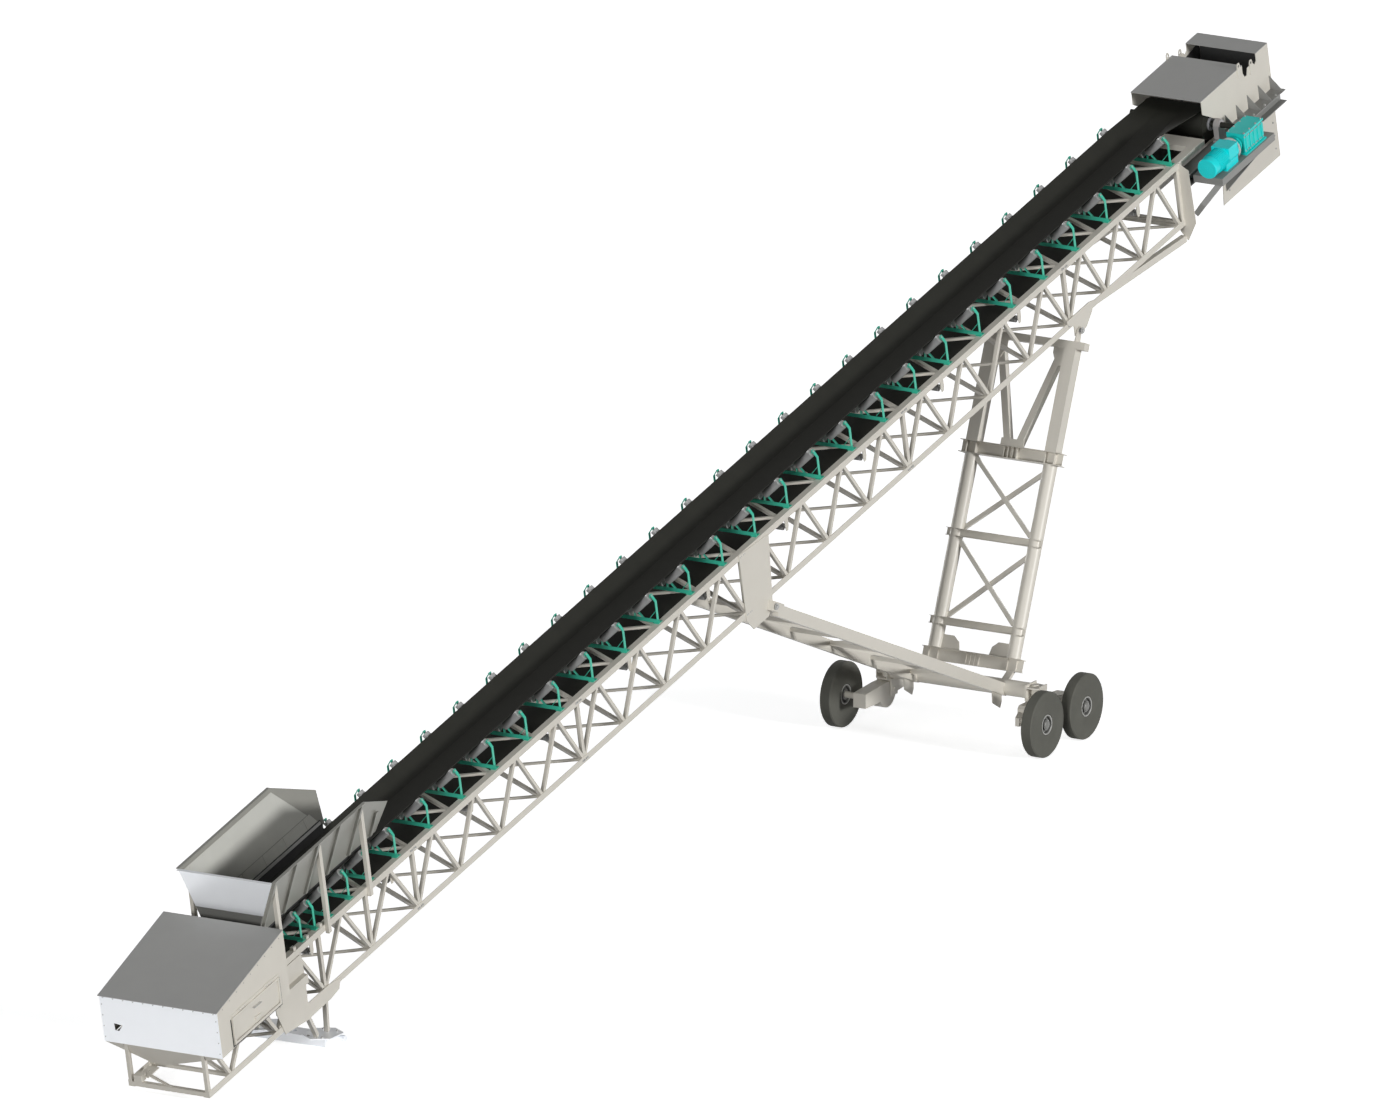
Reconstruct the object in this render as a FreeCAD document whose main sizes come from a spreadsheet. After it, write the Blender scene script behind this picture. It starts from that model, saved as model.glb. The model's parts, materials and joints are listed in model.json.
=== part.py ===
import FreeCAD, Part
import math
import os

# Radial stacker conveyor: a lattice truss with a troughed belt, a tail box and
# feed hopper at the low end, a head box with its drive at the high end, and an
# undercarriage of mast, struts, axle and swinging wheel bogies.
# Frame of the whole machine: X along the conveyor towards the head, Y to the
# far side, Z up, origin on the ground in the middle of the tail pivot.
# Frame of the conveyor: x along the belt from the tail end, y to the far side,
# z square to the belt, zero on top of the truss's top chord.

doc = FreeCAD.newDocument("RadialStacker")
sheet = doc.addObject("Spreadsheet::Sheet", "Sizes")

SIZES = [
    # how the conveyor stands
    ("Incline", 12.86), ("TailReach", 3904), ("TailRise", 1111),
    # truss
    ("TrussLength", 30100), ("TrussWidth", 1396), ("TrussDepth", 1067), ("ChordLeg", 105), ("ChordWall", 10),
    ("TailSection", 6370), ("TailPanels", 4.0), ("SpliceSpacing", 5030), ("SectionPanels", 4.0),
    ("WebBar", 58), ("PostBar", 72), ("LacingBar", 55),
    # belt and its rolls
    ("BeltThickness", 12), ("BeltWidth", 1050), ("TroughAngle", 42), ("RollDiameter", 127),
    ("RollLength", 372),
    ("RollPin", 25), ("CentreRollRise", 125), ("IdlerPitch", 1000), ("FirstIdler", 6000), ("BeltGap", 0.3),
    ("IdlerBase", 60), ("IdlerPlate", 8), ("ReturnPitch", 2420), ("FirstReturn", 3380),
    ("LastReturn", 1190), ("ReturnRollDiameter", 110),
    ("ReturnBracket", 100),
    ("HeadPulley", 520), ("TailPulley", 420), ("PulleyFace", 1100), ("PulleyShaft", 90),
    ("HeadPulleyBeyond", 1300),
    ("TailPulleyAt", 900), ("PulleyUnderside", -233),
    # tail box
    ("Sheet", 8), ("TailBoxLength", 2050), ("TailBoxWidth", 2030), ("RoofFront", 417), ("RoofRear", 787),
    ("TailBoxDrop", 361), ("DoorStart", 370), ("DoorEnd", 1770), ("DoorTop", 187), ("DoorDrop", 400),
    ("Seat", 0.3), ("ChuteDrop", 330), ("ChuteLength", 900), ("ChuteMouth", 300), ("ChuteOffset", 190),
    ("HingePin", 9),
    # feed hopper
    ("HopperStart", 2260), ("HopperRimEnd", 5000), ("HopperRim", 1427), ("HopperRimWidth", 1615),
    ("HopperWaist", 490), ("HopperWaistWidth", 888), ("HopperLip", 844), ("HopperChamfer", 5955),
    ("HopperChamferDrop", 478), ("HopperTailEnd", 5800), ("RibSpacing", 650), ("PostWidth", 80),
    ("PostDepth", 60),
    # head box and drive
    ("HeadBoxWidth", 1226), ("HeadTop", 547), ("HeadBottom", 1375), ("HoodBeyond", 1000),
    ("HoodLength", 1300),
    ("PlatformLength", 830), ("HoodSlot", 430), ("FrontBoxLength", 380), ("SideSetback", 430),
    ("SlotDepth", 224),
    ("ShelfTop", 213), ("ShelfDepth", 200), ("ShelfWidth", 230), ("ShelfPlate", 12), ("GussetPitch", 350),
    ("DeckTop", 260), ("DeckBeyond", 150), ("DeckLength", 1650), ("DeckReach", 1360), ("DeckRail", 120),
    ("GearboxLength", 600), ("GearboxWidth", 300), ("GearboxHeight", 345), ("GearboxSetback", 305),
    ("DriveLine", 1150), ("MotorDiameter", 310), ("MotorLength", 740), ("MotorGap", 160),
    # undercarriage
    ("StrutPinX", 12952), ("StrutPinRise", 3746), ("AxleX", 20025), ("AxleRise", 815), ("AxleDiameter", 250),
    ("AxleLength", 2440), ("LegPinX", 22338), ("LegPinRise", 5888), ("LegFootX", 20360),
    ("LegFootRise", 1030),
    ("LegPipe", 220), ("LegTube", 200), ("LegSpread", 1376), ("StrutDepth", 185), ("StrutDrop", 43),
    ("StrutWidth", 100),
    ("StrutSpread", 1500), ("KingpinOut", 1300), ("KingpinDiameter", 110),
    ("BogieWidth", 216), ("BogieUnder", 375), ("BogieTop", 665), ("WheelSpacing", 1220),
    ("TyreDiameter", 1020), ("TyreWidth", 183), ("RimDiameter", 310), ("TrackWidth", 3700),
    ("StubDiameter", 100),
    ("HubDiameter", 170), ("TyreBevel", 14), ("RunningGap", 5),
    # tail pivot base
    ("PivotWidth", 1500), ("PivotBeam", 140), ("PivotPlate", 20), ("PivotTube", 100), ("PivotBore", 80),
]

for row, (alias, number) in enumerate(SIZES, start=1):
    sheet.set(f"A{row}", alias)
    sheet.set(f"B{row}", str(number))
    sheet.setAlias(f"B{row}", alias)
doc.recompute()


def size(alias):
    """The number that a named cell of the sheet holds."""
    return float(sheet.get(alias))


def count(alias):
    """A named cell that counts pieces."""
    return int(round(size(alias)))


V = FreeCAD.Vector
incline = math.radians(size("Incline"))
along = V(math.cos(incline), 0, math.sin(incline))
square = V(-math.sin(incline), 0, math.cos(incline))
tail = V(-size("TailReach"), 0, size("TailRise"))
NODES = {}


def on_ground(u, y, v):
    """Where a point of the conveyor's frame lies in the machine's frame."""
    return tail + along * u + V(0, y, 0) + square * v


def on_belt(x, y, z):
    """Where a point of the machine's frame lies in the conveyor's frame."""
    away = V(x, y, z) - tail
    return V(away.dot(along), y, away.dot(square))


# ---- plain shapes ----------------------------------------------------------

def block(x0, x1, y0, y1, z0, z1):
    """A square block between two corners."""
    return Part.makeBox(x1 - x0, y1 - y0, z1 - z0, V(x0, y0, z0))


def rod(start, end, diameter):
    """A round bar between two points."""
    way = end - start
    return Part.makeCylinder(diameter / 2, way.Length, start, way)


def pipe(start, end, outside, wall):
    """A round tube between two points."""
    way = end - start
    outer = Part.makeCylinder(outside / 2, way.Length, start, way)
    inner = Part.makeCylinder(outside / 2 - wall, way.Length, start, way)
    return outer.cut(inner)


def prism(points, way):
    """A flat plate: a closed outline carried along one way."""
    outline = Part.makePolygon(points + [points[0]])
    return Part.Face(outline).extrude(way)


def bar(start, end, width, depth, side):
    """A square bar between two points; its width lies along the given side."""
    way = end - start
    across = V(side)
    across = across - way * (across.dot(way) / way.dot(way))
    across.normalize()
    upward = way.cross(across)
    upward.normalize()
    a = across * (width / 2)
    b = upward * (depth / 2)
    corners = [start + a + b, start - a + b, start - a - b, start + a - b]
    return prism(corners, way)


def joined(shapes):
    """One solid from pieces that touch."""
    first = shapes[0]
    whole = first.fuse(shapes[1:]) if len(shapes) > 1 else first
    return whole.removeSplitter()


def group(shapes):
    """Solids that don't touch, kept as one sub-part."""
    solids = []
    for shape in shapes:
        solids.extend(shape.Solids)
    return Part.makeCompound(solids)


def both_sides(shape):
    """A shape and its mirror image on the far side."""
    return [shape, shape.mirror(V(0, 0, 0), V(0, 1, 0))]


# ---- sub-parts as objects of the document ------------------------------------

def place_on_belt(item):
    """Tilt an object that was made in the conveyor's frame."""
    item.Placement = FreeCAD.Placement(tail, FreeCAD.Rotation(V(0, -1, 0), size("Incline")))
    item.setExpression(".Placement.Base.x", "-Sizes.TailReach")
    item.setExpression(".Placement.Base.z", "Sizes.TailRise")
    item.setExpression(".Placement.Rotation.Angle", "Sizes.Incline")


def feature(label, shape, tilted=True):
    """A sub-part whose shape comes from Part's own functions."""
    item = doc.addObject("Part::Feature", label)
    item.Label = label
    item.Shape = shape
    if tilted:
        place_on_belt(item)
    NODES[label] = item
    return item


def solid_of(kind, label, sizes):
    """A Part primitive with its sizes and place bound to the sheet."""
    item = doc.addObject(kind, label)
    item.Label = label
    for name, formula in sizes.items():
        item.setExpression(name, formula)
    return item


# ---- truss -----------------------------------------------------------------------

length = size("TrussLength")
half = size("TrussWidth") / 2
depth = size("TrussDepth")
leg = size("ChordLeg")
wall = size("ChordWall")
web_bar = size("WebBar")
sheet_wall = size("Sheet")
seat = size("Seat")


def bottom_nodes():
    """Stations of the bottom chord's nodes, closer set between the splices."""
    stations = []
    start = size("TailSection")
    panels = count("TailPanels")
    first = start / (panels + 0.5)
    stations.extend(start - first * k for k in range(panels, 0, -1))
    while start < length - first:
        end = min(start + size("SpliceSpacing"), length - 1.5 * size("PostBar"))
        panels = max(1, round((end - start) / (size("SpliceSpacing") / count("SectionPanels"))))
        stations.extend(start + (end - start) * k / panels for k in range(panels))
        start = end
    stations.append(start)
    return stations


def splices():
    """Stations where two truss sections bolt together, each with a post."""
    stations = []
    at = size("TailSection")
    while at < length - size("SpliceSpacing") / 2:
        stations.append(at)
        at += size("SpliceSpacing")
    return stations


def chord(y_out, top):
    """An angle: one leg on the truss's side, the other across its top or bottom."""
    inward = -1 if y_out > 0 else 1
    z_out = 0 if top else -depth
    z_in = z_out - leg if top else z_out + leg
    z_leg = z_out - wall if top else z_out + wall
    points = [V(sheet_wall, y_out, z_out), V(sheet_wall, y_out + inward * leg, z_out),
              V(sheet_wall, y_out + inward * leg, z_leg), V(sheet_wall, y_out + inward * wall, z_leg),
              V(sheet_wall, y_out + inward * wall, z_in), V(sheet_wall, y_out, z_in)]
    return prism(points, V(length - sheet_wall, 0, 0))


def truss_side(side):
    """Two chords with zigzag web bars and posts behind their upright legs."""
    y = side * (half - wall - web_bar / 2)
    low = -depth + wall + web_bar / 2
    high = -wall - web_bar / 2
    pieces = [chord(side * half, True), chord(side * half, False)]
    nodes = bottom_nodes()
    tops = [(a + b) / 2 for a, b in zip(nodes, nodes[1:])]
    pieces.append(bar(V(nodes[0], y, low), V(sheet_wall + web_bar, y, high), web_bar, web_bar, V(0, 1, 0)))
    for bottom, top, following in zip(nodes, tops, nodes[1:]):
        pieces.append(bar(V(bottom, y, low), V(top, y, high), web_bar, web_bar, V(0, 1, 0)))
        pieces.append(bar(V(top, y, high), V(following, y, low), web_bar, web_bar, V(0, 1, 0)))
    posts = splices() + [n for n in nodes if size("HopperStart") < n < size("TailSection") - 1]
    for at in posts:
        pieces.append(bar(V(at, y, -depth + wall), V(at, y, -wall), web_bar, size("PostBar"), V(0, 1, 0)))
    end = length - size("PostBar") / 2
    pieces.append(bar(V(end, y, -depth + wall), V(end, y, -wall), web_bar, size("PostBar"), V(0, 1, 0)))
    start = sheet_wall + size("PostBar") / 2
    pieces.append(bar(V(start, y, -depth + wall), V(start, y, -wall), web_bar, size("PostBar"), V(0, 1, 0)))
    return joined(pieces)


def lacing(z, stations, way):
    """A zigzag of bars between the two sides, every other one lighter, one solid from end to end."""
    reach = half - wall - web_bar
    wide = size("LacingBar")
    pieces = []
    for k, (a, b) in enumerate(zip(stations, stations[1:])):
        side = -1 if k % 2 else 1
        width = wide if k % 2 == 0 else wide * 0.7
        inset = reach - wide / 2
        drop = way * (wide - width) / 2
        pieces.append(bar(V(a, -side * inset, z + drop), V(b, side * inset, z + drop), width, width,
                          V(0, 0, 1)))
    for at in (stations[0], stations[-1]):
        pieces.append(bar(V(at, -reach, z), V(at, reach, z), wide, wide, V(0, 0, 1)))
    return joined(pieces)


nodes = bottom_nodes()
feature("truss_side_near", truss_side(-1))
feature("truss_side_far", truss_side(1))
tops = [(a + b) / 2 for a, b in zip(nodes, nodes[1:])]
feature("bottom_lacing", lacing(-depth + wall + size("LacingBar") / 2, sorted(nodes + tops), -1))
feature("top_lacing", lacing(-wall - size("LacingBar") / 2,
                             [at for at in sorted(nodes + tops) if at > size("TailBoxLength")], 1))
reach = half - wall - web_bar
ends = []
for at in (sheet_wall, length - size("PostBar")):
    ends.append(block(at, at + size("PostBar"), -reach, reach, -depth + wall,
                      -depth + wall + size("PostBar")))

platform_end = length + size("PlatformLength")
platform_in = half - 138
rails = []
for side in (-1, 1):
    y0, y1 = sorted((side * platform_in, side * half))
    rails.append(block(length + 12, platform_end, y0, y1, -wall, 0))
    y0, y1 = sorted((side * (half - wall), side * half))
    rails.append(block(length + 12, platform_end, y0, y1, -90, 0))
rails.append(block(platform_end - 310, platform_end, -platform_in, platform_in, -wall, 0))
for at in (platform_end - 310, platform_end - wall):
    rails.append(block(at, at + wall, -platform_in, platform_in, -90, 0))
ends.append(joined(rails))
feature("end_beams", group(ends))


# ---- belt, rolls and idler frames ---------------------------------------------------

angle = math.radians(size("TroughAngle"))
roll_radius = size("RollDiameter") / 2
thick = size("BeltThickness")
gap = size("BeltGap")
belt_low = size("CentreRollRise") + roll_radius + gap
flat_half = size("RollLength") / 2
wing = size("BeltWidth") / 2 - flat_half
head_at = length + size("HeadPulleyBeyond")
tail_at = size("TailPulleyAt")
under = size("PulleyUnderside")
head_radius = size("HeadPulley") / 2
tail_radius = size("TailPulley") / 2
head_axis = under + head_radius
tail_axis = under + tail_radius


def trough(u):
    """The belt's closed section at a troughing idler."""
    rise = wing * math.sin(angle)
    out = flat_half + wing * math.cos(angle)
    inner = thick * math.tan(angle / 2)
    lift = thick * math.cos(angle)
    pull = thick * math.sin(angle)
    points = [(-out, belt_low + rise), (-flat_half, belt_low), (flat_half, belt_low), (out, belt_low + rise),
              (out - pull, belt_low + rise + lift), (flat_half - inner, belt_low + thick),
              (-flat_half + inner, belt_low + thick), (-out + pull, belt_low + rise + lift)]
    return [V(u, y, z) for y, z in points]


def flat(u, low):
    """The belt's section where it lies flat on a pulley."""
    edge = size("BeltWidth") / 2
    points = [(-edge, low), (-flat_half, low), (flat_half, low), (edge, low),
              (edge, low + thick), (flat_half, low + thick), (-flat_half, low + thick), (-edge, low + thick)]
    return [V(u, y, z) for y, z in points]


def closed(points):
    return Part.makePolygon(points + [points[0]])


def wrap(u, axis, radius, towards):
    """The half turn of belt round a pulley."""
    edge = size("BeltWidth") / 2
    ring = pipe(V(u, -edge, axis), V(u, edge, axis), 2 * (radius + gap + thick), thick)
    reach = 2 * radius + 100
    keep = block(u, u + reach, -edge - 1, edge + 1, axis - reach, axis + reach)
    if towards < 0:
        keep = block(u - reach, u, -edge - 1, edge + 1, axis - reach, axis + reach)
    return ring.common(keep)


def idler_stations():
    """Idlers every pitch along the truss, and closer under the hopper."""
    pitch = size("IdlerPitch")
    first = size("FirstIdler")
    regular = []
    at = first
    while at < length:
        regular.append(at)
        at += pitch
    close = [first - pitch * share for share in (2.85, 2.45, 2.02, 1.42, 0.78)]
    return close + regular


stations = idler_stations()


def belt():
    """One closed loop: trough, two flat-to-trough changes, two wraps and the return run."""
    edge = size("BeltWidth") / 2
    first = stations[0] - roll_radius
    last = stations[-1] + roll_radius
    carrying = Part.Face(closed(trough(first))).extrude(V(last - first, 0, 0))
    up_tail = Part.makeLoft([closed(flat(tail_at, tail_axis + tail_radius + gap)), closed(trough(first))],
                            True, True)
    up_head = Part.makeLoft([closed(trough(last)), closed(flat(head_at, head_axis + head_radius + gap))],
                            True, True)
    low = under - gap - thick
    back = block(tail_at, head_at, -edge, edge, low, low + thick)
    loop = carrying.fuse([up_tail, up_head, back, wrap(tail_at, tail_axis, tail_radius, -1),
                          wrap(head_at, head_axis, head_radius, 1)])
    return loop


feature("belt", belt())

wing_out = V(0, math.cos(angle), math.sin(angle))
wing_up = V(0, -math.sin(angle), math.cos(angle))
base = size("IdlerBase")
strip = size("IdlerPlate")
roll_length = size("RollLength")
pin = size("RollPin")


def wing_axis():
    """Start and end of a wing roll's axis, so that the roll's top meets the belt."""
    foot = V(0, flat_half, belt_low) - wing_up * (roll_radius + gap)
    start = foot + wing_out * 30
    return start, start + wing_out * roll_length


def roll_room():
    """The space that the three rolls turn in, a little larger than they are."""
    start, end = wing_axis()
    rise = size("CentreRollRise")
    room = [rod(V(0, -roll_length / 2 + 14, rise), V(0, roll_length / 2 - 14, rise),
                size("RollDiameter") + 6)]
    for side in (-1, 1):
        a = V(start.x, side * start.y, start.z)
        b = V(end.x, side * end.y, end.z)
        way = b - a
        way.normalize()
        room.append(rod(a - way * 2, b + way * 2, size("RollDiameter") + 6))
        room.append(rod(a - way * 9, b + way * 9, pin + 2 * seat))
    return room


def idler_base():
    """A base angle across the truss with foot plates and the inner roll brackets."""
    start, end = wing_axis()
    reach = half - 36
    pieces = [block(-base / 2, base / 2, -reach, reach, 0, strip),
              block(-base / 2, -base / 2 + strip, -reach, reach, 0, base)]
    for side in (-1, 1):
        foot = [V(-base, side * reach, 0), V(base, side * reach, 0), V(base, side * (reach - 90), 0),
                V(-base, side * (reach - 90), 0)]
        pieces.append(prism(foot, V(0, 0, strip)))
        near = side * (start.y - 14)
        inner = [V(-base / 2, near, strip), V(-base / 2, near, start.z + 18),
                 V(-base / 2, near - side * strip, start.z + 18), V(-base / 2, near - side * strip, strip)]
        pieces.append(prism(inner, V(base, 0, 0)))
        pieces.append(bar(V(0, side * (start.y + 150), strip), V(0, side * (start.y + 10), start.z + 4),
                          base * 0.7,
                          strip, V(1, 0, 0)))
    whole = joined(pieces).cut(roll_room())
    return max(whole.Solids, key=lambda solid: solid.Volume)


def idler_upright(side):
    """The bent flat that stands on the base and holds a wing roll's outer end."""
    start, end = wing_axis()
    shoulder = end.z - 60
    y = side * (end.y + 95)
    lean_in = end.y + 6
    section = [(abs(y), strip), (abs(y), shoulder), (lean_in + 16, end.z + 46), (lean_in, end.z + 46),
               (lean_in, end.z - 20), (lean_in + strip, end.z - 20), (lean_in + strip, end.z + 36),
               (abs(y) - strip, shoulder - 4), (abs(y) - strip, strip)]
    outline = [V(-base / 2 + strip, side * out, z) for out, z in section]
    whole = prism(outline, V(base - strip, 0, 0)).cut(roll_room())
    return max(whole.Solids, key=lambda solid: solid.Volume)


def roll(start, end, shoulder):
    """A roll with a pin standing out of each end."""
    way = end - start
    way.normalize()
    body = rod(start, end, size("RollDiameter"))
    spindle = rod(start - way * shoulder, end + way * shoulder, pin)
    return body.fuse(spindle)


def idler_rolls(u):
    """One flat roll between two wing rolls."""
    start, end = wing_axis()
    rise = size("CentreRollRise")
    rolls = [roll(V(u, -roll_length / 2 + 20, rise), V(u, roll_length / 2 - 20, rise), 4)]
    for side in (-1, 1):
        rolls.append(roll(V(u, side * start.y, start.z), V(u, side * end.y, end.z), 4))
    return rolls


one_base = idler_base()
uprights = [idler_upright(-1), idler_upright(1)]
feature("idler_bases", group([one_base.translated(V(u, 0, 0)) for u in stations]))
feature("idler_uprights", group([upright.translated(V(u, 0, 0)) for u in stations for upright in uprights]))
rolls = []
for u in stations:
    rolls.extend(idler_rolls(u))
feature("idler_rolls", group(rolls))


def return_stations():
    """Return rolls every pitch below the top chord, and a last one ahead of the head end."""
    found = []
    at = size("FirstReturn")
    last = length - size("LastReturn")
    while at < last - 0.7 * size("ReturnPitch"):
        found.append(at)
        at += size("ReturnPitch")
    return found + [last]


def return_set(u):
    """A return roll on its pin, and the two plates that it hangs from."""
    radius = size("ReturnRollDiameter") / 2
    axis = under - 2 * gap - thick - radius
    reach = half - wall - web_bar - sheet_wall
    face = size("BeltWidth") / 2 + 40
    body = rod(V(u, -face, axis), V(u, face, axis), 2 * radius)
    spindle = rod(V(u, -reach, axis), V(u, reach, axis), pin)
    width = size("ReturnBracket") / 2
    plate = [V(u - width, reach, -wall), V(u + width, reach, -wall),
             V(u + width, reach, axis + radius * 0.3),
             V(u + width * 0.5, reach, axis - radius), V(u - width * 0.5, reach, axis - radius),
             V(u - width, reach, axis + radius * 0.3)]
    hanger = prism(plate, V(0, sheet_wall, 0))
    return body.fuse(spindle), both_sides(hanger)


hangers = []
returns = []
for u in return_stations():
    roller, plates = return_set(u)
    returns.append(roller)
    hangers.extend(plates)
feature("return_rolls", group(returns))
feature("return_hangers", group(hangers))


def pulley(u, axis, radius, near, far):
    """A drum with end discs on a through shaft."""
    face = size("PulleyFace") / 2
    drum = rod(V(u, -face, axis), V(u, face, axis), 2 * radius)
    shaft = rod(V(u, near, axis), V(u, far, axis), size("PulleyShaft"))
    return drum.fuse(shaft)


box_half = size("HeadBoxWidth") / 2
shelf_out = box_half + size("ShelfWidth")
gear_near = -(size("DriveLine") - size("GearboxWidth") / 2 - seat)
feature("head_pulley", pulley(head_at, head_axis, head_radius, gear_near, shelf_out))
feature("tail_pulley", pulley(tail_at, tail_axis, tail_radius, leg + seat - half, half - leg - seat))


def pillow(u, axis, y, low, width):
    """A bearing block standing on a seat below the shaft."""
    r = size("PulleyShaft")
    body = block(u - 1.6 * r, u + 1.6 * r, y - width / 2, y + width / 2, low, low + 30)
    housing = rod(V(u, y - width / 2, axis), V(u, y + width / 2, axis), 2.1 * r)
    neck = block(u - 1.05 * r, u + 1.05 * r, y - width / 2, y + width / 2, low, axis)
    bore = rod(V(u, y - width, axis), V(u, y + width, axis), r)
    return joined([body, housing, neck]).cut(bore)


# ---- tail box -------------------------------------------------------------------------

box_y = size("TailBoxWidth") / 2
box_long = size("TailBoxLength")
roof_front = size("RoofFront")
roof_rear = size("RoofRear")
drop = -size("TailBoxDrop")
roof_slope = (roof_rear - roof_front) / box_long

front = block(0, sheet_wall, -box_y, box_y, drop, roof_front - sheet_wall)
rope_hole = prism([V(-1, 810, -35), V(-1, 665, -55), V(-1, 735, -155), V(-1, 805, -150)],
                  V(sheet_wall + 2, 0, 0))
feature("tail_front", front.cut(rope_hole))
roof = prism([V(-30, -box_y - 12, roof_front - 30 * roof_slope), V(box_long, -box_y - 12, roof_rear),
              V(box_long, -box_y - 12, roof_rear - sheet_wall),
              V(-30, -box_y - 12, roof_front - 30 * roof_slope - sheet_wall)], V(0, 2 * box_y + 24, 0))
feature("tail_roof", roof)


def tail_side(side):
    """A side sheet with its door opening, folded round at its rear edge."""
    y = side * box_y
    low_rear = drop + 68
    outline = [V(sheet_wall, y, drop), V(sheet_wall, y, roof_front + sheet_wall * roof_slope - sheet_wall),
               V(box_long, y, roof_rear - sheet_wall), V(box_long, y, low_rear)]
    panel = prism(outline, V(0, -side * sheet_wall, 0))
    door_low = size("DoorTop") - size("DoorDrop")
    opening = block(size("DoorStart") + 25, size("DoorEnd") - 25, y - 2 * sheet_wall, y + 2 * sheet_wall,
                    door_low + 25, size("DoorTop") - 25)
    panel = panel.cut(opening)
    lip = block(box_long - 60, box_long, min(y, y - side * 60), max(y, y - side * 60), low_rear,
                roof_rear - 40)
    lip = lip.cut(block(box_long - 60, box_long - sheet_wall, min(y - side * sheet_wall, y - side * 61),
                        max(y - side * sheet_wall, y - side * 61), low_rear - 1, roof_rear))
    return joined([panel, lip])


feature("tail_side_near", tail_side(-1))
feature("tail_side_far", tail_side(1))


def tail_door(side):
    """A hinged inspection door with two hinge leaves, a latch and a folded edge."""
    y = side * (box_y + seat)
    out = side * sheet_wall
    top = size("DoorTop")
    low = top - size("DoorDrop")
    start = size("DoorStart")
    end = size("DoorEnd")
    panel = block(start, end, min(y, y + out), max(y, y + out), low, top)
    pieces = [panel]
    pin_y = y + side * size("HingePin") / 2
    pin_z = top + size("HingePin") * 0.8
    for at in (start + 180, end - 420):
        pieces.append(block(at, at + 240, min(y + out, y + 2 * out), max(y + out, y + 2 * out), top - 40,
                            pin_z))
        pieces.append(rod(V(at, pin_y, pin_z), V(at + 240, pin_y, pin_z), size("HingePin")))
    mid = (start + end) / 2
    pieces.append(block(mid - 80, mid + 80, min(y + out, y + 4 * out), max(y + out, y + 4 * out), low + 10,
                        low + 60))
    door = joined(pieces)
    return door


feature("tail_door_near", tail_door(-1))
feature("tail_door_far", tail_door(1))


def funnel(z):
    """A shallow upside-down pyramid from the box's lower rim to a small mouth."""
    far = size("ChuteLength")
    y = box_y - sheet_wall
    low = z - size("ChuteDrop")
    mouth = size("ChuteMouth") / 2
    u = far * 0.33
    offset = size("ChuteOffset")
    rim = [V(0, -y, z), V(far, -y, z), V(far, y, z), V(0, y, z)]
    outlet = [V(u - mouth, offset - mouth, low), V(u + mouth, offset - mouth, low),
              V(u + mouth, offset + mouth, low), V(u - mouth, offset + mouth, low)]
    wires = [Part.makePolygon(points + [points[0]]) for points in (rim, outlet)]
    return Part.makeLoft(wires, True, True)


def fold_chute():
    """The spill chute under the tail: four sheets folded down to a small outlet."""
    sheet = funnel(drop).cut(funnel(drop + sheet_wall * 1.5))
    for side in (-1, 1):
        y0, y1 = sorted((side * (half - wall - web_bar - seat), side * (half + seat)))
        low = drop - size("ChuteDrop") - sheet_wall
        sheet = sheet.cut(block(-sheet_wall, size("ChuteLength") + sheet_wall, y0, y1, low,
                                drop + sheet_wall))
    return sheet


feature("spill_chute", fold_chute())


def tow_bracket():
    """A box on the front beam with a plate behind it, an eye through the plate, and a short tie bar."""
    z = -depth + wall + size("PostBar")
    y = half * 0.66
    start = sheet_wall
    box = block(start, start + 130, y, y + 130, z, z + 110)
    plate = block(start + 100, start + 430, y - 60, y + 130, z + 40, z + 56)
    eye = rod(V(start + 300, y + 40, z), V(start + 300, y + 40, z + 80), 40)
    tie = bar(V(start + 190, y - 50, z + 36), V(start + 30, y - 480, z - 10), 36, 36, V(0, 0, 1))
    tie = tie.cut(block(-100, 600, -half, half, z - 200, z))
    return joined([box, plate, tie]).cut(eye)


feature("tow_bracket", tow_bracket())

bearings = []
for side in (-1, 1):
    y = side * (half - leg - seat - 18)
    bearings.append(pillow(tail_at, tail_axis, y, -leg - 140, 36))
seat_half = 260
for side in (-1, 1):
    y0 = side * (half - wall - web_bar)
    y1 = side * (half - leg - seat - 36)
    bearings.append(block(tail_at - seat_half, tail_at + seat_half, min(y0, y1), max(y0, y1), -leg - 160,
                          -leg - 140))
tail_bearings = [joined([bearings[k], bearings[k + 2]]) for k in range(2)]


# ---- feed hopper ------------------------------------------------------------------------

rim_y = size("HopperRimWidth") / 2
waist_y = size("HopperWaistWidth") / 2
rim = size("HopperRim")
waist = size("HopperWaist")
hop_start = size("HopperStart")
lean_out = (rim_y - waist_y) / (rim - waist)


def wall_y(z):
    """How far out the hopper's side sheet stands at a height."""
    return waist_y + (z - waist) * lean_out


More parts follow.
